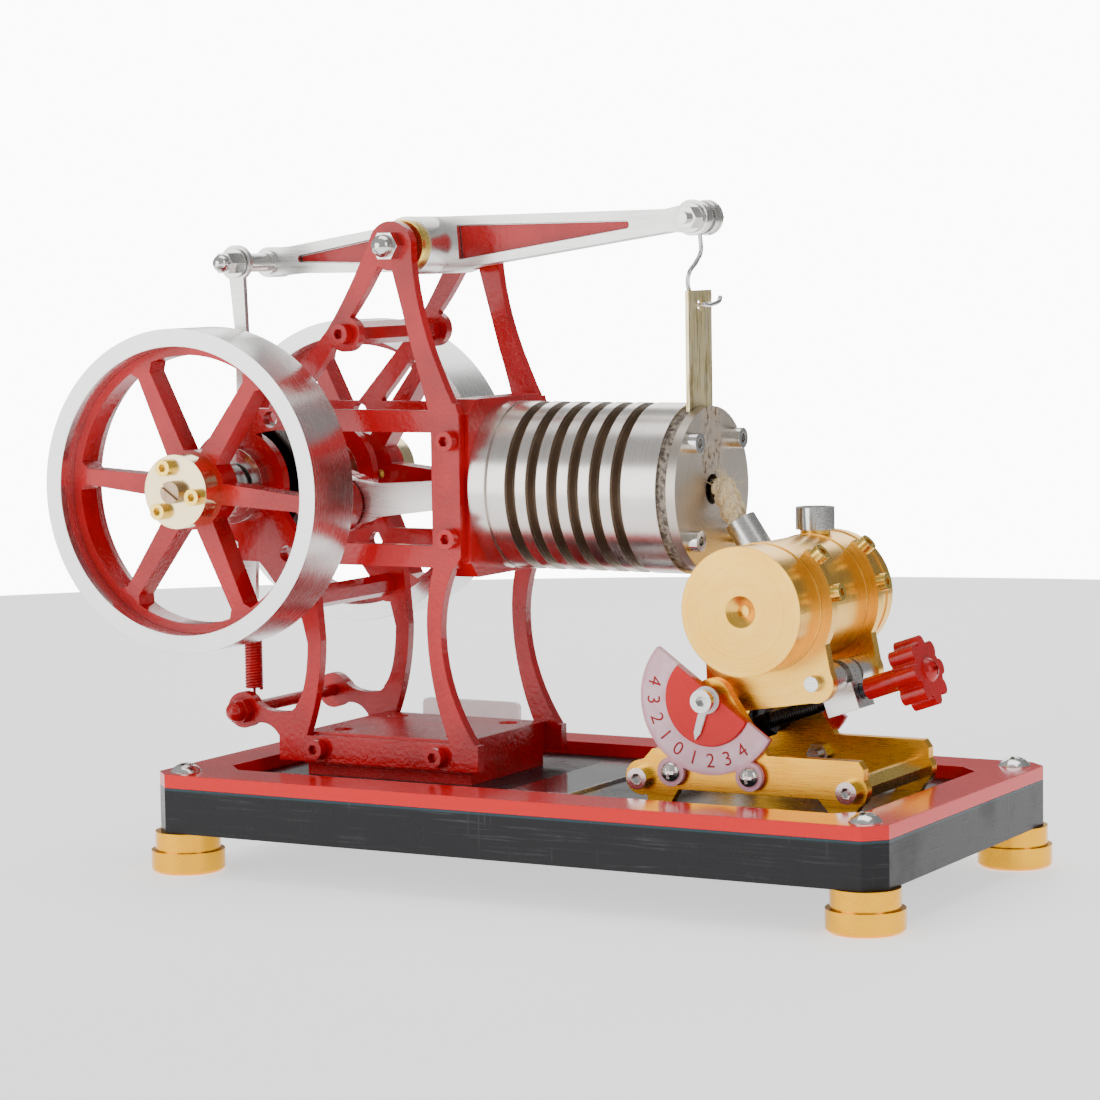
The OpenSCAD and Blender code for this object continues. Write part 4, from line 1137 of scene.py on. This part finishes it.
@dataclass
class Burner:
    """Side plates, dials, cradle, tank, wick and adjuster."""

    frame: dict
    palette: Palette

    def make(self) -> None:
        """Dresses the burner and makes its pieces."""
        p = self.palette
        paint(self.frame, ["burner_plates"], p.gold)
        paint(self.frame, ["burner_standoffs", "clamp_screws"], p.brass)
        paint(self.frame, ["burner_screws", "dial_screws", "pivot_screws"], p.chrome)
        pivot = middle("pivot_screws")
        band = DialBand("dial band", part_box("dial_plates")[1][1], tuple(pivot))
        paint(self.frame, ["dial_plates"], band.build())
        paint(self.frame, ["dial_sectors"], p.plate)
        paint(self.frame, ["dial_pointers"], Moulded("pointer white", (0.92, 0.92, 0.92), 0.35).build())
        low, high = (np.array(c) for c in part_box("spirit_tank"))
        half = (high[0] - low[0]) / 2
        centre = (low[0] + half, 0.0, low[2] + half)
        gold, shade = (1.0, 0.62, 0.13), (0.88, 0.46, 0.05)
        tank = Turned("turned gold", gold, shade, centre, Axis.Y, 0.28, rings=4200.0)
        paint(self.frame, ["spirit_tank", "cradle_arms"], tank.build())
        paint(self.frame, ["wick_tube", "cradle_pin", "swivel_block"], p.silver)
        paint(self.frame, ["filler_cap"], p.chrome)
        paint(self.frame, ["swivel_post", "adjuster_screw"], p.black)
        paint(self.frame, ["star_knob"], p.red)
        ink = GlossPlate("dial ink", (0.42, 0.004, 0.01), 0.3).build()
        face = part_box("dial_plates")[0][1]
        Dial((pivot[0], pivot[2]), face, -1).make(ink)
        Dial((pivot[0], pivot[2]), -face, 1).make(ink)
        Wick().make()
        post = middle("swivel_post")
        Adjuster(p, (post[0], post[2]), math.radians(18.93)).make()


# ------------------------------------------------------------------ studio


@dataclass
class Studio:
    """Pale floor, soft light and the camera."""

    azimuth: float = math.radians(29.123)
    elevation: float = math.radians(5.1055)
    roll: float = math.radians(-0.858)
    eye: tuple[float, float, float] = (0.45721, -0.81664, 0.16911)
    lens: float = 113.79
    bright_way: tuple[float, float, float] = (-0.45, -0.75, 0.45)
    bright: float = 0.6
    dim: float = 0.32
    backdrop: float = 14.0
    floor_radius: float = 0.8
    floor_glow: float = 1.0

    def camera(self) -> None:
        """Sets the camera: its back axis from azimuth and elevation, then rolled about it."""
        level = math.cos(self.elevation)
        way = (math.sin(self.azimuth) * level, -math.cos(self.azimuth) * level, math.sin(self.elevation))
        back = Vector(way)
        right = (-back).cross(Vector((0, 0, 1))).normalized()
        up = right.cross(-back)
        c, s = math.cos(self.roll), math.sin(self.roll)
        right, up = c * right + s * up, c * up - s * right
        data = bpy.data.cameras.new("camera")
        data.lens = self.lens
        data.sensor_width = 36.0
        data.clip_start = 0.01
        holder = bpy.data.objects.new("camera", data)
        turn = Matrix((right, up, back)).transposed().to_4x4()
        holder.matrix_world = Matrix.Translation(self.eye) @ turn
        bpy.context.scene.collection.objects.link(holder)
        bpy.context.scene.camera = holder

    def floor(self) -> None:
        """Makes a large pale disc under the feet."""
        angle = np.linspace(0, 2 * np.pi, 96, endpoint=False)
        radius = np.array([0.0005, self.floor_radius])[:, None]
        below = np.full((2, 96), -0.2 * MM)
        rows = np.stack([radius * np.cos(angle), radius * np.sin(angle), below], axis=-1)
        ground = loft("floor", rows[:, ::-1], smooth=False, caps=False)
        g = Graph("pale floor")
        shade = g.noise(g.place(), 3.0, 2.0)
        pale = g.blend(shade, (0.95, 0.95, 0.95), (0.97, 0.97, 0.97))
        finish = g.finish(
            Base_Color=pale,
            Roughness=0.7,
            Emission_Color=(1.0, 1.0, 1.0),
            Emission_Strength=self.floor_glow,
        )
        ground.data.materials.append(finish)

    def lamp(self, name: str, place: Sequence[float], size: tuple[float, float], power: float) -> None:
        """Adds a soft box that faces the engine.

        Args:
            name: its name.
            place: where it stands.
            size: width and height.
            power: watts.
        """
        data = bpy.data.lights.new(name, "AREA")
        data.shape = "RECTANGLE"
        data.size, data.size_y = size
        data.energy = power
        holder = bpy.data.objects.new(name, data)
        way = Vector((0, 0, 0.09)) - Vector(place)
        holder.matrix_world = Matrix.Translation(place) @ way.to_track_quat("-Z", "Y").to_matrix().to_4x4()
        bpy.context.scene.collection.objects.link(holder)

    def world(self) -> None:
        """Surrounds the scene with light, bright ahead of the wheels' faces and dim behind the burner."""
        world = bpy.data.worlds.new("studio")
        bpy.context.scene.world = world
        world.use_nodes = True
        tree = world.node_tree
        tree.nodes.clear()
        coords = tree.nodes.new("ShaderNodeTexCoord")
        facing = tree.nodes.new("ShaderNodeVectorMath")
        facing.operation = "DOT_PRODUCT"
        facing.inputs[1].default_value = Vector(self.bright_way).normalized()
        lobe = tree.nodes.new("ShaderNodeMapRange")
        lobe.interpolation_type = "SMOOTHSTEP"
        limits = {"From Min": -0.5, "From Max": 0.75, "To Min": self.dim, "To Max": self.bright}
        for name, value in limits.items():
            lobe.inputs[name].default_value = value
        ray = tree.nodes.new("ShaderNodeLightPath")
        pick = tree.nodes.new("ShaderNodeMix")
        pick.inputs["B"].default_value = self.backdrop
        back = tree.nodes.new("ShaderNodeBackground")
        out = tree.nodes.new("ShaderNodeOutputWorld")
        tree.links.new(coords.outputs["Generated"], facing.inputs[0])
        tree.links.new(facing.outputs["Value"], lobe.inputs["Value"])
        tree.links.new(ray.outputs["Is Camera Ray"], pick.inputs["Factor"])
        tree.links.new(lobe.outputs["Result"], pick.inputs["A"])
        tree.links.new(pick.outputs["Result"], back.inputs["Strength"])
        tree.links.new(back.outputs[0], out.inputs[0])

    def make(self) -> None:
        """Sets the studio."""
        self.camera()
        self.floor()
        self.world()
        self.lamp("key", (-0.63, -1.13, 0.27), (1.0, 0.9), 8.5)
        self.lamp("fill", (0.9, -0.35, 0.45), (0.3, 0.7), 1.6)
        self.lamp("top", (0.0, 0.1, 1.0), (0.9, 0.6), 4.0)
        self.lamp("rim", (-0.3, 0.8, 0.5), (0.7, 0.4), 2.5)


# ------------------------------------------------------------------ main


def main() -> None:
    """Builds every sub-assembly in order."""
    logging.basicConfig(level=logging.INFO, format="%(name)s: %(message)s")
    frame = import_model()
    Studio().make()
    palette = Palette().mix()
    Base(frame, palette).make()
    SideFrames(frame, palette).make()
    ReturnSpring(palette).make()
    CylinderUnit(frame, palette).make()
    Wheels(frame, palette).make()
    CrankTrain(frame, palette).make()
    BeamGear(frame, palette).make()
    Burner(frame, palette).make()


if __name__ == "__main__":
    main()
